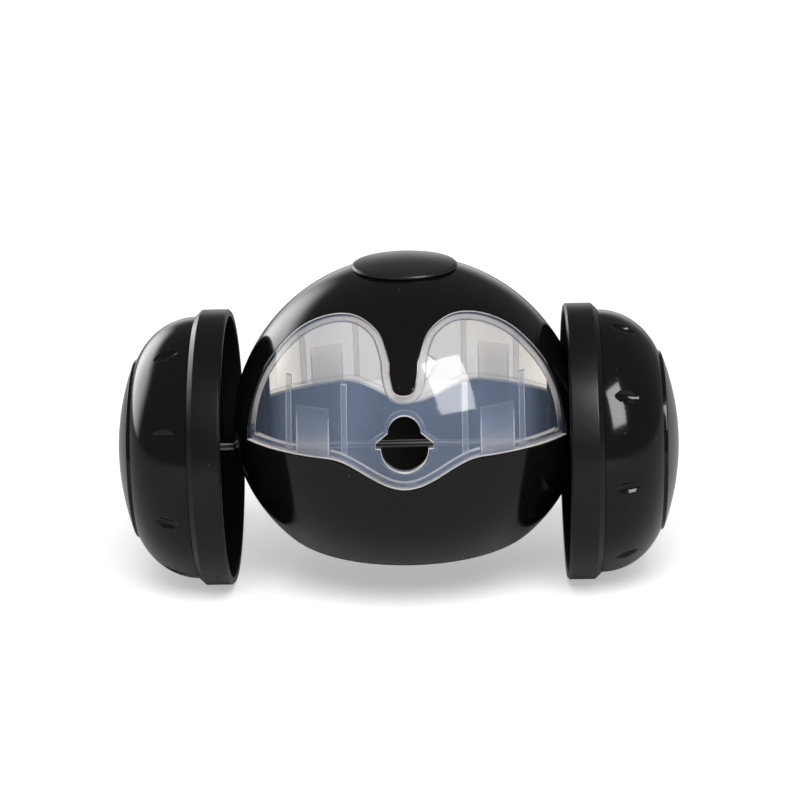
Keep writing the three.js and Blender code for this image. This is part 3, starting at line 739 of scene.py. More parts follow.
boss_end = THRUST - AXLE_BOSS_LENGTH
boss_corners = [(AXLE_HOLE, THRUST, 0.25), (AXLE_BOSS_R, THRUST, 0.5), (AXLE_BOSS_R, boss_end, 0.4),
                (AXLE_HOLE, boss_end, 0.2)]
axle_bosses = [turned("axle boss", rounded(boss_corners), BALL + Vector((0, 0, AXLE_DROP)), axis, 64)
               for axis in ("X", "-X")]
pocket_corners = [(POCKET_IN, POCKET_LOW, 0), (POCKET_OUT, POCKET_LOW, 0), (POCKET_OUT, POCKET_HIGH, 0.4),
                  (POCKET_IN, POCKET_HIGH, 0.4)]
pocket = turned("weight pocket", rounded(pocket_corners), BALL, "Z")
bowl = joined([bowl, pocket] + posts + axle_bosses)
bpy.ops.object.shade_smooth_by_angle(angle=radians(SMOOTH_BELOW))
print("bowl with fittings:", len(bowl.data.polygons), "faces")

# %% [markdown]
# The filler cap is a satin black plug with a domed head that lies on top of the shell. It is turned in one go from
# the crown, round its soft edge, and down the hollow plug.

# %% Filler cap
CAP_R = 20.3
SEAT_SPHERE_R = 69
CAP_UNDER = sqrt(SEAT_SPHERE_R ** 2 - CAP_R ** 2) + 0.3
CAP_EDGE_TOP = CAP_UNDER + 1.7
CROWN_R, CROWN_HEIGHT = 19.5, 2.1
PLUG_R, PLUG_IN, PLUG_FOOT, PLUG_TOP = 14.6, 12.6, 62, 67.6
HOLLOW_TOP = PLUG_FOOT + 3.3
crown = [(r, CAP_EDGE_TOP + CROWN_HEIGHT * (1 - (r / CROWN_R) ** 2) - 0.05, 0)
         for r in (0, 3, 6, 9, 12, 14.5, 16.5, 18)]
edge = [(19.6, CAP_EDGE_TOP - 0.15, 0.9), (CAP_R, CAP_EDGE_TOP - 0.8, 0.8), (CAP_R, CAP_UNDER + 0.1, 0.5)]
plug = [(PLUG_R, PLUG_TOP, 0.3), (PLUG_R, PLUG_FOOT, 0.5), (PLUG_IN, PLUG_FOOT, 0.5), (PLUG_IN, HOLLOW_TOP, 0.6),
        (0, HOLLOW_TOP, 0)]
cap = turned("filler_cap_smooth", rounded(crown + edge + plug, closed=False), BALL, "Z", 128)
cap.data.transform(about_ball(LEAN))
print("cap faces:", len(cap.data.polygons))

# %% [markdown]
# A wheel is a cup: a band with a satin tread, a glossy dome that closes in towards the hub cap, and a hub on the
# inside that turns on the axle, with six webs between hub and dome. Nine almond dimples are pressed into the dome.
# They are made by moving vertices of the turned dome inwards, so the rows of vertices are first drawn closer together
# where the dimples lie.

# %% Wheel shell
RIM_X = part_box("right_tyre_band")[0].x / MM
AXLE_Z = 54
DOME_START, DOME_LENGTH, DOME_DROP = 13.1, 26, 29
DOME_BASE_R = 51.3
DOME_END_R = 36.0
WHEEL_WALL = 2.4
DOME_TURN = pi / 2 - asin((DOME_END_R - DOME_BASE_R + DOME_DROP) / DOME_DROP)
DOME_END = DOME_START + DOME_LENGTH * sin(DOME_TURN)
SEAT = DOME_END - 2.7
DOME_ROWS = 50
DIMPLES = 9
DIMPLE_LENGTH, DIMPLE_R, DIMPLE_LIFT = 15, 2.7, 1.4
DIMPLE_AT, DIMPLE_STRETCH = 0.38, 27.5
DIMPLE_TURN = asin(DIMPLE_AT * sin(DOME_TURN))
DRAWN_CLOSER = 0.65
SKIRT_R, SKIRT_START = 50.9, 7.6
HUB_R = 5.2
WEBS, WEB_START, WEB_IN, WEB_WALL = 6, 24, 4.6, 1.8
WHEEL_STEPS = 360
FIRST_DIMPLE = {"right": 146, "left": 20}
SHARP_ABOVE = 30
SIDES = {"right": ("X", 1), "left": ("-X", -1)}


def dome(inset, rows):
    points = []
    for k in range(rows + 1):
        turn = DOME_TURN * k / rows
        radius = DOME_BASE_R - DOME_DROP + (DOME_DROP - inset) * cos(turn)
        points.append((radius, DOME_START + (DOME_LENGTH - inset) * sin(turn), 0))
    return points


def wheel_outline():
    wall = SEAT - WHEEL_WALL
    inner = [p for p in dome(WHEEL_WALL, 16) if p[1] < wall - 1.5]
    outer = dome(0, DOME_ROWS)
    outer[-1] = (*outer[-1][:2], 0.5)
    skirt = [(SKIRT_R, SKIRT_START, 0.4), (SKIRT_R, DOME_START - 0.1, 0)]
    hub = [(DOME_END_R - 0.1, SEAT, 0.4), (AXLE_HOLE, SEAT, 0.2), (AXLE_HOLE, SKIRT_START, 0.2),
           (HUB_R, SKIRT_START, 0.5), (HUB_R, wall, 1.2), (inner[-1][0] - 2.5, wall, 1.5)]
    return rounded(skirt + outer + hub + inner[::-1] + [(DOME_BASE_R - WHEEL_WALL, SKIRT_START, 0.4)])


def dimple_depth(turn, round_angle):
    along = (turn - DIMPLE_TURN) * DIMPLE_STRETCH
    across = (DOME_BASE_R - DOME_DROP + DOME_DROP * cos(turn)) * round_angle
    size = DIMPLE_R * (1 - (2 * along / DIMPLE_LENGTH) ** 2)
    if size <= abs(across):
        return 0
    return max(0, sqrt(size * size - across * across) - DIMPLE_LIFT)


def press_dimples(wheel, middle, side, first):
    pitch = 2 * pi / DIMPLES
    for vertex in wheel.data.vertices:
        spot = vertex.co / MM - middle
        along = side * spot.x
        radius = sqrt(spot.y ** 2 + spot.z ** 2)
        angle = atan2(spot.z, side * spot.y) - first
        step = round(angle / pitch)
        share = (angle - step * pitch) / (pitch / 2)
        angle = ((1 - DRAWN_CLOSER) * share + DRAWN_CLOSER * share ** 3) * pitch / 2
        base = DOME_DROP - DOME_BASE_R + radius
        turn = asin(clamped((along - DOME_START) / DOME_LENGTH))
        if abs(base - DOME_DROP * cos(turn)) < 0.03 and along > DOME_START:
            depth = dimple_depth(turn, angle)
            lean = Vector((sin(turn) * DOME_DROP, cos(turn) * DOME_LENGTH)).normalized()
            along -= lean.x * depth
            radius -= lean.y * depth
        angle += first + step * pitch
        vertex.co = (middle + Vector((side * along, side * radius * cos(angle), radius * sin(angle)))) * MM


def wheel_web(middle, side, turn):
    def place(u, v, w):
        along = WEB_START + (SEAT - 1.2 - WEB_START) * u
        bend = asin(min((along - DOME_START) / (DOME_LENGTH - WHEEL_WALL / 2), 1))
        reach = DOME_BASE_R - DOME_DROP + (DOME_DROP - WHEEL_WALL / 2) * cos(bend)
        radius = WEB_IN + (reach - WEB_IN) * v
        thick = WEB_WALL * (w - 0.5)
        y = radius * cos(turn) - thick * sin(turn)
        z = radius * sin(turn) + thick * cos(turn)
        return middle + Vector((side * along, side * y, z))
    return block("web", place, 8, 0.3)


wheels = {}
for side, (axis, sign) in SIDES.items():
    middle = Vector((sign * RIM_X, 0, AXLE_Z))
    shell_piece = turned(side + "_wheel_shell_smooth", wheel_outline(), middle, axis, WHEEL_STEPS)
    press_dimples(shell_piece, middle, sign, radians(FIRST_DIMPLE[side]))
    webs = [wheel_web(middle, sign, 2 * pi * (k + 0.5) / WEBS) for k in range(WEBS)]
    wheels[side] = {"wheel_shell": joined([shell_piece] + webs)}
    bpy.ops.object.shade_smooth_by_angle(angle=radians(SHARP_ABOVE))
print("wheel faces:", len(wheels["right"]["wheel_shell"].data.polygons))

# %% [markdown]
# The tyre band is a short tube with soft corners that grips the skirt of the wheel shell. The hub cap is a shallow
# dome with a skirt, pressed into the open end of the dome. Both are turned. The two sides of the toy get the same
# outlines along opposite axes.

# %% Tyre bands and hub caps
HUB_CAP_R, HUB_CAP_IN_R, HUB_CAP_WALL = 35.0, 33, 2
HUB_TIP = 44.1
HUB_CAP_EDGE = DOME_END + 1.4
HUB_CAP_FOOT = SEAT + 0.3
band_corners = [(51.3, 0.2, 0.2), (51.6, 0, 0.2), (53.2, 0, 0.15), (54, 0.8, 0.2), (54, 10.55, 0.5),
                (51.9, 12.75, 0.4), (51.3, 12.75, 0)]


def hub_dome(radius, inset):
    return radius, HUB_TIP - inset - (HUB_TIP - HUB_CAP_EDGE) * (radius / HUB_CAP_R) ** 2


def wheel_piece(side, kind, outline, steps):
    axis, sign = SIDES[side]
    middle = Vector((sign * RIM_X, 0, AXLE_Z))
    wheels[side][kind] = turned(f"{side}_{kind}_smooth", outline, middle, axis, steps)


hub_corners = [(*hub_dome(HUB_CAP_R * k / 20, 0), 0) for k in range(20)]
hub_corners += [(HUB_CAP_R, HUB_CAP_EDGE, 0.6), (HUB_CAP_R, HUB_CAP_FOOT, 0.3), (HUB_CAP_IN_R, HUB_CAP_FOOT, 0.3)]
hub_corners += [(*hub_dome(HUB_CAP_IN_R * k / 6, HUB_CAP_WALL), 0.4 if k == 6 else 0) for k in range(6, -1, -1)]
for side in wheels:
    wheel_piece(side, "tyre_band", rounded(band_corners), 240)
    wheel_piece(side, "hub_cap", rounded(hub_corners, closed=False), 200)
print("pieces of a wheel:", list(wheels["left"]))

# %% [markdown]
# The small metal pieces are the axle, a washer and a push nut at each end of it, and the screws. The axle shows
# through the outlet and the open wheels, and the shell screws show from below, in their wells. They are turned like
# the rest, and the screw heads get a cross recess cut by two crossed blocks.

# %% Axle, washers and push nuts
AXLE_R, AXLE_TIP_R, AXLE_TAPER = 1.5, 1.0, 0.6
AXLE_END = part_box("axle")[1].x / MM
WASHER_IN, WASHER_R = 1.8, 4
WASHER_LOW, WASHER_HIGH = SEAT + 0.3, SEAT + 1.1
NUT = SEAT + 1.4
half_axle = [(AXLE_R, AXLE_END - AXLE_TAPER, 0.2), (AXLE_TIP_R, AXLE_END, 0.1), (0, AXLE_END, 0)]
axle_corners = [(r, -x, rounding) for r, x, rounding in reversed(half_axle)] + half_axle
axle = turned("axle_smooth", rounded(axle_corners, closed=False), Vector((0, 0, AXLE_Z)), "X", 48)
washer_corners = [(WASHER_IN, WASHER_LOW, 0.1), (WASHER_R, WASHER_LOW, 0.2), (WASHER_R, WASHER_HIGH, 0.2),
                  (WASHER_IN, WASHER_HIGH, 0.1)]
nut_corners = [(1.7, NUT + 0.9, 0.1), (4.2, NUT + 0.1, 0.6), (5, NUT, 0.1), (5, NUT + 0.6, 0.15),
               (4.2, NUT + 0.7, 0.6), (1.7, NUT + 1.5, 0.1)]
for side in wheels:
    wheel_piece(side, "washer", rounded(washer_corners), 48)
    wheel_piece(side, "push_nut", rounded(nut_corners), 48)
print("axle is", round(2 * AXLE_END, 1), "mm long")


# %% Screws
HEAD_HEIGHT, HEAD_TOP_R, SCREW_HEAD_R = 1.6, 1.6, 2.6
CORE_R, THREAD_R, PITCH = 1.0, 1.3, 0.9
CROSS_LENGTH, CROSS_WIDTH, CROSS_DEPTH = 3.0, 0.6, 1.8


def screw(name, middle, axis, length):
    corners = [(0, -HEAD_HEIGHT, 0), (HEAD_TOP_R, -HEAD_HEIGHT, 0.3), (SCREW_HEAD_R, -0.8, 0.5),
               (SCREW_HEAD_R, 0, 0.15), (CORE_R, 0, 0.15)]
    turns = int((length - 2) / PITCH)
    for k in range(turns):
        corners += [(CORE_R, 0.5 + PITCH * k, 0), (THREAD_R, 0.95 + PITCH * k, 0.08)]
    corners += [(0.95, 0.6 + PITCH * turns, 0), (0, length, 0)]
    piece = turned(name, rounded(corners, closed=False, steps=3), middle, axis, 28)
    head = (Vector(middle) - AXES[axis][0] * HEAD_HEIGHT) * MM
    for size in ((CROSS_LENGTH, CROSS_WIDTH, CROSS_DEPTH), (CROSS_WIDTH, CROSS_LENGTH, CROSS_DEPTH)):
        deselect()
        bpy.ops.mesh.primitive_cube_add(size=MM, location=head, scale=size)
        cut_away(piece, bpy.context.object)
    deselect()
    piece.select_set(True)
    bpy.context.view_layer.objects.active = piece
    bpy.ops.object.shade_smooth_by_angle(angle=radians(SHARP_ABOVE))
    return piece


first = screw("shell_screw_1_smooth", BALL + Vector((*places[0], SEAT_Z - 0.3)), "Z", 20)
screws = {"shell_screw_1": first}
for i, (x, y) in enumerate(places[1:], start=2):
    shift = Vector((x - places[0][0], y - places[0][1], 0)) * MM
    screws[f"shell_screw_{i}"] = copied(first, f"shell_screw_{i}_smooth", Matrix.Translation(shift))
print("screws:", len(screws))

# %% [markdown]
# The weight is a steel disc on the floor of the bowl, which rights the ball when it tips. A plate with a shallow dish
# is screwed over it and keeps the treats off. Both are plain turned discs, and the plate's size comes from the CAD.

# %% Weight, its cover and the cover screws
cover_low, cover_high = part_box("weight_cover")
COVER_LOW, COVER_HIGH = cover_low.z / MM - BALL.z, cover_high.z / MM - BALL.z
COVER_R = (cover_high.x - cover_low.x) / 2 / MM
DISH_R, DISH_FLOOR = 20, COVER_HIGH - 0.5
WEIGHT_R = 24.2
WEIGHT_LOW, WEIGHT_HIGH = BASE + 2.6, BASE + 10.4
weight_corners = [(0, WEIGHT_LOW, 0), (WEIGHT_R, WEIGHT_LOW, 0.8), (WEIGHT_R, WEIGHT_HIGH, 0.8), (0, WEIGHT_HIGH, 0)]
weight = turned("counterweight_smooth", rounded(weight_corners, closed=False), BALL, "Z")
cover_corners = [(0, COVER_LOW, 0), (COVER_R, COVER_LOW, 0.2), (COVER_R, COVER_HIGH, 0.5),
                 (DISH_R, COVER_HIGH, 0.3), (DISH_R - 0.8, DISH_FLOOR, 0.3), (0, DISH_FLOOR, 0)]
cover = turned("weight_cover_smooth", rounded(cover_corners, closed=False), BALL, "Z")
for i in range(1, 4):
    low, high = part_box(f"weight_cover_screw_{i}")
    spot = (low + high) / 2 / MM
    spot.z = BALL.z + COVER_HIGH + 0.3
    screws[f"weight_cover_screw_{i}"] = screw(f"weight_cover_screw_{i}_smooth", spot, "-Z", 6.5)
print("cover radius", round(COVER_R, 2), "mm")

# %% [markdown]
# The finishes are built from nodes. A few helpers keep the recipes short: one adds a node and fills its inputs, with
# a number or with a link from another node, and the others stand for the sums, ranges and blends of colours that
# come back in every finish.

# %% Node helpers
def fill(tree, made, values):
    for key, value in values.items():
        if isinstance(value, bpy.types.NodeSocket):
            tree.links.new(value, made.inputs[key])
        else:
            made.inputs[key].default_value = value


def node(tree, kind, **values):
    made = tree.nodes.new("ShaderNode" + kind)
    for key, value in values.items():
        if key in made.inputs:
            fill(tree, made, {key: value})
        else:
            setattr(made, key, value)
    return made


def calc(tree, operation, one, other):
    made = node(tree, "Math", operation=operation)
    fill(tree, made, {0: one, 1: other})
    return made.outputs[0]


def times(tree, one, other):
    return calc(tree, "MULTIPLY", one, other)


def added(tree, one, other):
    return calc(tree, "ADD", one, other)


def ranged(tree, value, low, high, start=0.0, end=1.0):
    span = node(tree, "MapRange", Value=value)
    fill(tree, span, {"From Min": start, "From Max": end, "To Min": low, "To Max": high})
    return span.outputs["Result"]


def blended(tree, factor, low, high):
    mix = node(tree, "Mix", data_type="RGBA", Factor=factor)
    for label, value in (("A", low), ("B", high)):
        socket = next(s for s in mix.inputs if s.name == label and s.type == "RGBA")
        if isinstance(value, tuple):
            socket.default_value = (*value, 1)
        else:
            tree.links.new(value, socket)
    return next(s for s in mix.outputs if s.type == "RGBA")


def grey(value):
    return value, value, value


def on_piece(tree):
    return node(tree, "TexCoord").outputs["Object"]


# %% [markdown]
# Some marks are shared by several finishes, so each is a node group that is built once: a fine grain left by the
# mould, hairline scratches from handling, and specks of dust. A group only puts out values that change over the
# surface. The shaders themselves stay in the materials. All patterns read Object coordinates, which are metres here.

# %% Shared marks
CLOUD_SCALE = 38.0
SCRATCH_BEND, SCRATCH_WIDTH = 0.02, 0.008
SCRATCHED = (0.55, 0.65)
DUST_CHANCE = 0.86


def new_group(name, inputs, outputs):
    group = bpy.data.node_groups.new(name, "ShaderNodeTree")
    for label, value in inputs.items():
        socket = group.interface.new_socket(name=label, in_out="INPUT", socket_type="NodeSocketFloat")
        socket.default_value = value
    for label in outputs:
        group.interface.new_socket(name=label, in_out="OUTPUT", socket_type="NodeSocketFloat")
    return group, group.nodes.new("NodeGroupInput").outputs, group.nodes.new("NodeGroupOutput")


def make_grain():
    group, given, end = new_group("Mould grain", {"Scale": 2500.0}, ["Height", "Cloud"])
    spot = on_piece(group)
    fine = node(group, "TexNoise", Vector=spot, Scale=given["Scale"], Detail=2.0)
    cloud = node(group, "TexNoise", Vector=spot, Scale=CLOUD_SCALE, Detail=3.0)
    fill(group, end, {"Height": fine.outputs["Fac"], "Cloud": cloud.outputs["Fac"]})
    return group


def make_scratches():
    group, given, end = new_group("Hairline scratches", {"Scale": 90.0, "Amount": 0.3}, ["Mask"])
    spot = on_piece(group)
    wavy = node(group, "TexNoise", Vector=spot, Scale=14.0, Detail=1.0)
    moved = node(group, "VectorMath", operation="MULTIPLY_ADD")
    fill(group, moved, {0: wavy.outputs["Color"], 1: grey(SCRATCH_BEND), 2: spot})
    lines = node(group, "TexVoronoi", feature="DISTANCE_TO_EDGE", Vector=moved.outputs[0], Scale=given["Scale"])
    thin = ranged(group, lines.outputs["Distance"], 1, 0, 0, SCRATCH_WIDTH)
    patches = node(group, "TexNoise", Vector=spot, Scale=60.0)
    kept = ranged(group, patches.outputs["Fac"], 0, 1, *SCRATCHED)
    fill(group, end, {"Mask": times(group, times(group, thin, kept), given["Amount"])})
    return group


def make_dust():
    group, given, end = new_group("Dust specks", {"Scale": 420.0, "Size": 0.06, "Amount": 0.5}, ["Mask"])
    cells = node(group, "TexVoronoi", Vector=on_piece(group), Scale=given["Scale"])
    near = calc(group, "LESS_THAN", cells.outputs["Distance"], given["Size"])
    chance = node(group, "SeparateColor", Color=cells.outputs["Color"]).outputs[0]
    few = calc(group, "GREATER_THAN", chance, DUST_CHANCE)
    fill(group, end, {"Mask": times(group, times(group, near, few), given["Amount"])})
    return group


GRAIN, SCRATCHES, DUST = make_grain(), make_scratches(), make_dust()
print("groups:", [g.name for g in (GRAIN, SCRATCHES, DUST)])


# %% [markdown]
# All black plastics are built by one function, because they differ only in how smooth they are: the shells and
# wheel domes are polished, the filler cap is satin, and the tyre bands are duller. Dust and scratches lighten the
# colour a little and roughen it, and the grain tips the reflections through a bump.

# %% Black plastics
CLOUDS = (0.3, 0.7)
SCRATCH_AMOUNT = 0.15
SCRATCH_ROUGH, UNPOLISHED_ROUGH = 0.25, 0.4
DUST_COLOUR = grey(0.35)


def new_material(name):
    material = bpy.data.materials.new(name)
    material.use_nodes = True
    return material, material.node_tree, material.node_tree.nodes["Principled BSDF"]


def use_group(tree, group, **values):
    made = tree.nodes.new("ShaderNodeGroup")
    made.node_tree = group
    fill(tree, made, values)
    return made.outputs


def on_vertices(tree, name):
    return node(tree, "Attribute", attribute_name=name).outputs["Fac"]


def grain_bump(tree, grain, depth):
    return node(tree, "Bump", Strength=1.0, Distance=depth * MM, Height=grain["Height"]).outputs["Normal"]


def black_plastic(name, colour, smooth, rough, grain_scale, grain_depth, dust, shine=0.5):
    material, tree, surface = new_material(name)
    grain = use_group(tree, GRAIN, Scale=grain_scale)
    scratches = use_group(tree, SCRATCHES, Amount=SCRATCH_AMOUNT)["Mask"]
    specks = use_group(tree, DUST, Amount=dust)["Mask"]
    pale = tuple(min(1, c * 3 + 0.02) for c in colour)
    dusty = blended(tree, specks, blended(tree, scratches, colour, pale), DUST_COLOUR)
    cloudy = ranged(tree, grain["Cloud"], smooth, rough, *CLOUDS)
    worn = added(tree, cloudy, ranged(tree, scratches, 0, SCRATCH_ROUGH))
    dull = ranged(tree, on_vertices(tree, "unpolished"), 0, UNPOLISHED_ROUGH)
    fill(tree, surface, {"Base Color": dusty, "Roughness": added(tree, worn, dull), "IOR": 1.5,
                         "Specular IOR Level": shine, "Normal": grain_bump(tree, grain, grain_depth)})
    return material


gloss_black = black_plastic("gloss black plastic", (0.004, 0.004, 0.0045), 0.08, 0.14, 900, 0.0006, 0.5, 0.33)
satin_black = black_plastic("satin black plastic", (0.010, 0.010, 0.011), 0.24, 0.32, 2600, 0.005, 0.35)
tyre_black = black_plastic("tyre black plastic", (0.004, 0.004, 0.004), 0.26, 0.36, 1500, 0.012, 0.35, 0.36)
print("black plastics made")


# %% [markdown]
# The milky plastic lets light through with a warm cast and scatters the rest with a cool one, as thin milky plastic
# does: it looks blue over the dark inside and neutral over the white background. So a tinted Transparent shader is
# mixed with a bluish surface. The share of the surface is the dense value that was painted on the vertices, with its
# painted light and shade, and faint streaks in it from the flow in the mould. Where dense is high, on edges, border
# and tabs, the surface turns white; on the edges these are painted highlights. The painted shade darkens the tint. A
# polished skin lies over both. It is left out on faces seen from behind, so that only the outer face of a wall
# shines, and where dense is near zero.

# %% Milky plastic
COOL_HAZE, WHITE_HAZE = (0.30, 0.39, 0.59), (0.76, 0.73, 0.72)
CLEAR_TINT, WARM_TINT = grey(0.98), (0.985, 0.961, 0.918)
WHITE_AT, WARM_AT, SHINY_AT = (0.24, 0.36), (0.02, 0.1), (0.03, 0.08)
SHADE_STRENGTH = 0.5
FLOW_STRETCH, FLOW_SCALE, FLOW_SHARE = (1, 0.3, 0.12), 90.0, (0.8, 1.2)
SKIN_ROUGH = (0.06, 0.12)


def streaks(tree, stretch, scale):
    longer = node(tree, "VectorMath", operation="MULTIPLY")
    fill(tree, longer, {0: on_piece(tree), 1: stretch})
    return node(tree, "TexNoise", Vector=longer.outputs[0], Scale=scale, Detail=2.0).outputs["Fac"]


def mixed(tree, share, one, other):
    mix = node(tree, "MixShader", Fac=share)
    fill(tree, mix, {1: one.outputs[0], 2: other.outputs[0]})
    return mix


def milky_plastic():
    material, tree, surface = new_material("milky plastic")
    dense = on_vertices(tree, "dense")
    grain = use_group(tree, GRAIN, Scale=700.0)
    specks = use_group(tree, DUST, Scale=300.0, Amount=0.4)["Mask"]
    # White where dense is high: on edges this is painted highlight.
    base = blended(tree, ranged(tree, dense, 0, 1, *WHITE_AT), COOL_HAZE, WHITE_HAZE)
    fill(tree, surface, {"Base Color": blended(tree, specks, base, grey(0.8)), "Roughness": 0.5,
                         "Specular IOR Level": 0.0})
    tint = blended(tree, ranged(tree, dense, 0, 1, *WARM_AT), CLEAR_TINT, WARM_TINT)
    shade = ranged(tree, on_vertices(tree, "shade"), 0, SHADE_STRENGTH)
    clear = node(tree, "BsdfTransparent", Color=blended(tree, shade, tint, grey(0)))
    flow = ranged(tree, streaks(tree, FLOW_STRETCH, FLOW_SCALE), *FLOW_SHARE, *CLOUDS)
    body = mixed(tree, times(tree, dense, flow), clear, surface)

    skin = node(tree, "BsdfGlossy", Roughness=ranged(tree, grain["Cloud"], *SKIN_ROUGH, *CLOUDS),
                Normal=grain_bump(tree, grain, 0.0006))
    outer = ranged(tree, node(tree, "NewGeometry").outputs["Backfacing"], 1, 0)
    outer = times(tree, outer, ranged(tree, dense, 0, 1, *SHINY_AT))
    shine = times(tree, node(tree, "Fresnel", IOR=1.49).outputs[0], outer)
    fill(tree, tree.nodes["Material Output"], {"Surface": mixed(tree, shine, body, skin).outputs[0]})
    return material


milky = milky_plastic()
print("milky plastic made")


# %% [markdown]
# The axle is drawn steel. It is pulled through a die, which leaves fine bright and dark lines along it. They are a
# noise stretched along the axle that blends a bright and a dark colour, and the bright lines also stand in for the
# highlight lines along the axle, so they are partly painted highlight. The surface is only about half metallic, so
# that the lines also show where the surroundings are dark. The weight and the screws are zinc plated, with soft
# clouds in place of lines.

# %% Metals
def metal(name, bright, dark, smooth, rough, metallic, stretch, scale):
    material, tree, surface = new_material(name)
    grain = use_group(tree, GRAIN, Scale=1800.0)
    scratches = use_group(tree, SCRATCHES, Scale=220.0, Amount=0.7)["Mask"]
    lines = ranged(tree, streaks(tree, stretch, scale), 0, 1, 0.4, 0.6)
    cloudy = ranged(tree, grain["Cloud"], smooth, rough, *CLOUDS)
    worn = added(tree, cloudy, ranged(tree, scratches, 0, 0.2))
    fill(tree, surface, {"Base Color": blended(tree, lines, bright, dark), "Roughness": worn,
                         "Metallic": metallic, "Normal": grain_bump(tree, grain, 0.002)})
    return material


# The white of the steel's lines is partly painted highlight.
steel = metal("drawn steel with painted highlights", (1, 1, 1), (0.1, 0.1, 0.11), 0.14, 0.22, 0.55, (0.01, 1, 1), 900.0)
zinc = metal("zinc plating", (0.52, 0.53, 0.55), (0.42, 0.43, 0.45), 0.28, 0.42, 1, (1, 1, 1), CLOUD_SCALE)
print("metals made")

# %% [markdown]
# The mould is polished only where the toy shows, so the inside of the ball is dull. Which vertices lie inside is
# written into a point attribute, which roughens the black plastic there.

# %% Unpolished insides
def unpolish(piece, is_inside):
    new_values(piece, "unpolished")
    for vertex, dull in painted(piece, "unpolished"):
        dull.value = is_inside(vertex.co / MM - BALL)


def inside_ball(spot):
    return sqrt(spot.x ** 2 + spot.y ** 2) < ball_radius(min(spot.z, PARTING)) - 1 and spot.z > BASE + 1


unpolish(bowl, inside_ball)
unpolish(shell, lambda spot: spot.length < BALL_R - 1)
print("insides roughened")

# %% [markdown]
# Each piece now gets its finish, rides on the CAD body that it belongs to, and takes the place of its CAD node.

# %% Dress the pieces
finishes = {"gloss_black": gloss_black, "satin_black": satin_black, "tyre_black": tyre_black, "milky": milky,
            "steel": steel, "zinc": zinc}


def dress(piece, node_name, body, slot):
    piece.data.materials.clear()
    piece.data.materials.append(finishes[slot])
    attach(piece, body)
    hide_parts(node_name)


dress(bowl, "lower_bowl", "ball", "gloss_black")
dress(shell, "upper_shell", "ball", "gloss_black")
dress(front_window, "front_window", "ball", "milky")
dress(back_window, "back_window", "ball", "milky")
dress(cap, "filler_cap", "cap", "satin_black")
dress(weight, "counterweight", "ball", "zinc")
dress(cover, "weight_cover", "ball", "satin_black")
dress(axle, "axle", "axle_rod", "steel")
for name, piece in screws.items():
    dress(piece, name, "ball", "zinc")
for side in ("left", "right"):
    for kind, slot in (("wheel_shell", "gloss_black"), ("tyre_band", "tyre_black"), ("hub_cap", "gloss_black")):
        dress(wheels[side][kind], f"{side}_{kind}", side + "_wheel", slot)
    for kind in ("washer", "push_nut"):
        dress(wheels[side][kind], f"{side}_{kind}", "axle_rod", "steel")
print("pieces dressed")

# %% [markdown]
# The toy stands on a white table in a light studio. Glossy black plastic shows its surroundings more than itself,
# so the surroundings matter: the background behind the toy is white, the room in front and overhead is dim, a large
# light panel stands at the left behind the toy and a softbox to the front right. These two only show in
# reflections. The plain light comes from a large lamp in front and from the world, so the shadow falls backwards
# and stays close to the toy. For the camera the table also glows, more strongly away from the toy: this is painted
# light, which whitens the table away from the toy and leaves it darker near it.

# %% Floor
FLOOR_SIZE = 12
NEAR_PAINTED_GLOW, LIFT_FROM, LIFT_TO = 0.42, 0.25, 1.2
MIRRORED_LIFT = 0.05
TABLE, MIRRORED_TABLE = grey(0.85), grey(0.46)


def make_floor():
    deselect()
    bpy.ops.mesh.primitive_plane_add(size=FLOOR_SIZE)
    floor = bpy.context.object
    floor.name = "floor"
    material, tree, surface = new_material("white table")
    ray = node(tree, "LightPath").outputs
    seen = added(tree, ray["Is Camera Ray"], ray["Is Transmission Ray"])
    away = node(tree, "VectorMath", operation="LENGTH", Vector=on_piece(tree)).outputs["Value"]
    # Painted light: for the camera the table glows less near the toy, so it stays darker there.
    painted_glow = times(tree, seen, ranged(tree, away, NEAR_PAINTED_GLOW, 1, LIFT_FROM, LIFT_TO))
    mirrored = ranged(tree, ray["Is Glossy Ray"], 0, MIRRORED_LIFT)
    fill(tree, surface, {"Base Color": blended(tree, ray["Is Glossy Ray"], TABLE, MIRRORED_TABLE), "Roughness": 0.7,
                         "Specular IOR Level": 0.0, "Emission Color": (1, 1, 1, 1),
                         "Emission Strength": added(tree, painted_glow, mirrored)})
    floor.data.materials.append(material)
    floor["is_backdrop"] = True


make_floor()
print("floor made")


# %% [markdown]
# The world is seen in three ways. The camera, and light that passes through the windows, meet plain white. Mirrored
# rays meet a dim room with a white backdrop low behind the toy and the bright panel at its left. All other rays meet
# an even daylight, a little stronger from above.

# %% World
ROOM, BACKDROP, PANEL = (0.14, 0.14, 0.145), grey(1.0), grey(4.2)
BACKDROP_AT, PANEL_AT = (-0.3, 1, 0), (-0.72, 0.66, 0.20)
BACKDROP_SPREAD, BACKDROP_HEIGHT = (0.72, 0.97), (0.42, 0.12)
PANEL_SPREAD, PANEL_HEIGHT = (0.85, 0.99), (0.58, 0.36)
LOW_LIGHT, HIGH_LIGHT = grey(0.32), grey(0.38)


def toward(tree, direction, aim):
    facing = node(tree, "VectorMath", operation="DOT_PRODUCT")
    fill(tree, facing, {0: direction, 1: Vector(aim).normalized()})
    return facing.outputs["Value"]


def soft(tree, value, start, end):
    result = ranged(tree, value, 0, 1, start, end)
    result.node.interpolation_type = "SMOOTHSTEP"
    return result


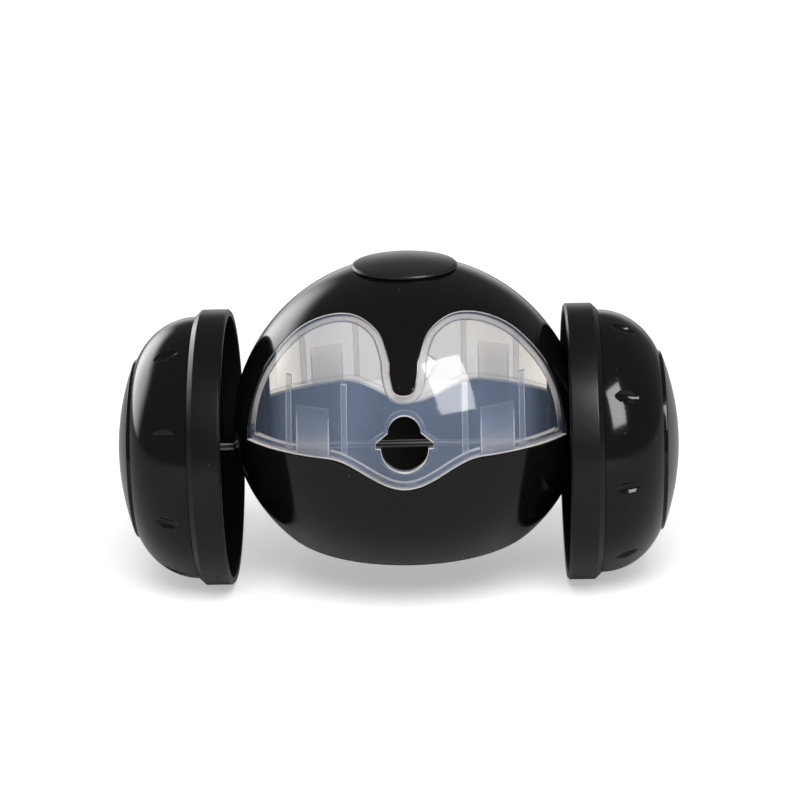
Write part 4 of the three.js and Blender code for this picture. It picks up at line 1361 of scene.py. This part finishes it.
def make_world():
    world = bpy.data.worlds.new("light studio")
    world.use_nodes = True
    tree = world.node_tree
    ray = node(tree, "LightPath").outputs
    direction = node(tree, "TexCoord").outputs["Generated"]
    height = toward(tree, direction, (0, 0, 1))
    behind = soft(tree, toward(tree, direction, BACKDROP_AT), *BACKDROP_SPREAD)
    room = blended(tree, times(tree, behind, soft(tree, height, *BACKDROP_HEIGHT)), ROOM, BACKDROP)
    left = soft(tree, toward(tree, direction, PANEL_AT), *PANEL_SPREAD)
    room = blended(tree, times(tree, left, soft(tree, height, *PANEL_HEIGHT)), room, PANEL)
    daylight = blended(tree, soft(tree, height, 0.0, 1.0), LOW_LIGHT, HIGH_LIGHT)
    lit = blended(tree, ray["Is Glossy Ray"], daylight, room)
    clear = added(tree, ray["Is Camera Ray"], ray["Is Transmission Ray"])
    fill(tree, tree.nodes["Background"], {"Color": blended(tree, clear, lit, (1, 1, 1)), "Strength": 1.0})
    bpy.context.scene.world = world


make_world()
bpy.context.scene.view_settings.view_transform = "Standard"
print("world made")


# %% [markdown]
# Two area lamps light the toy. The softbox makes the window-shaped highlights on the right, so it is left out of the
# plain light, and the key light gives the plain light and the shadow, so it is left out of the reflections.

# %% Lamps
def area_lamp(name, middle, across, upward, size, power):
    across, upward = Vector(across).normalized(), Vector(upward)
    outward = across.cross(upward).normalized()
    upward = outward.cross(across)
    deselect()
    bpy.ops.object.light_add(type="AREA")
    lamp = bpy.context.object
    lamp.name = name
    turn = Matrix((across, upward, outward)).transposed().to_4x4()
    lamp.matrix_world = Matrix.Translation(middle) @ turn
    lamp.data.shape = "RECTANGLE"
    lamp.data.size, lamp.data.size_y = size
    lamp.data.energy = power
    lamp.visible_camera = False
    return lamp


softbox = area_lamp("front right softbox", middle=(0.498, -0.683, 0.763), across=(0.805, 0.592, -0.044),
                    upward=(-0.309, 0.557, 0.77), size=(0.47, 0.66), power=12)
softbox.visible_diffuse = False
key = area_lamp("front key light", middle=(0.1, -1.1, 1.2), across=(1, 0, 0), upward=(0, 0.737, 0.676),
                size=(1, 1), power=26)
key.visible_glossy = False
print("lamps at", [[round(c, 2) for c in lamp.location] for lamp in (softbox, key)])

# %% [markdown]
# The size of the box round the finished pieces is printed.

# %% Size of the finished pieces
low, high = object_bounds()
print("visual size in mm:", [round((b - a) / MM, 1) for a, b in zip(low, high)])
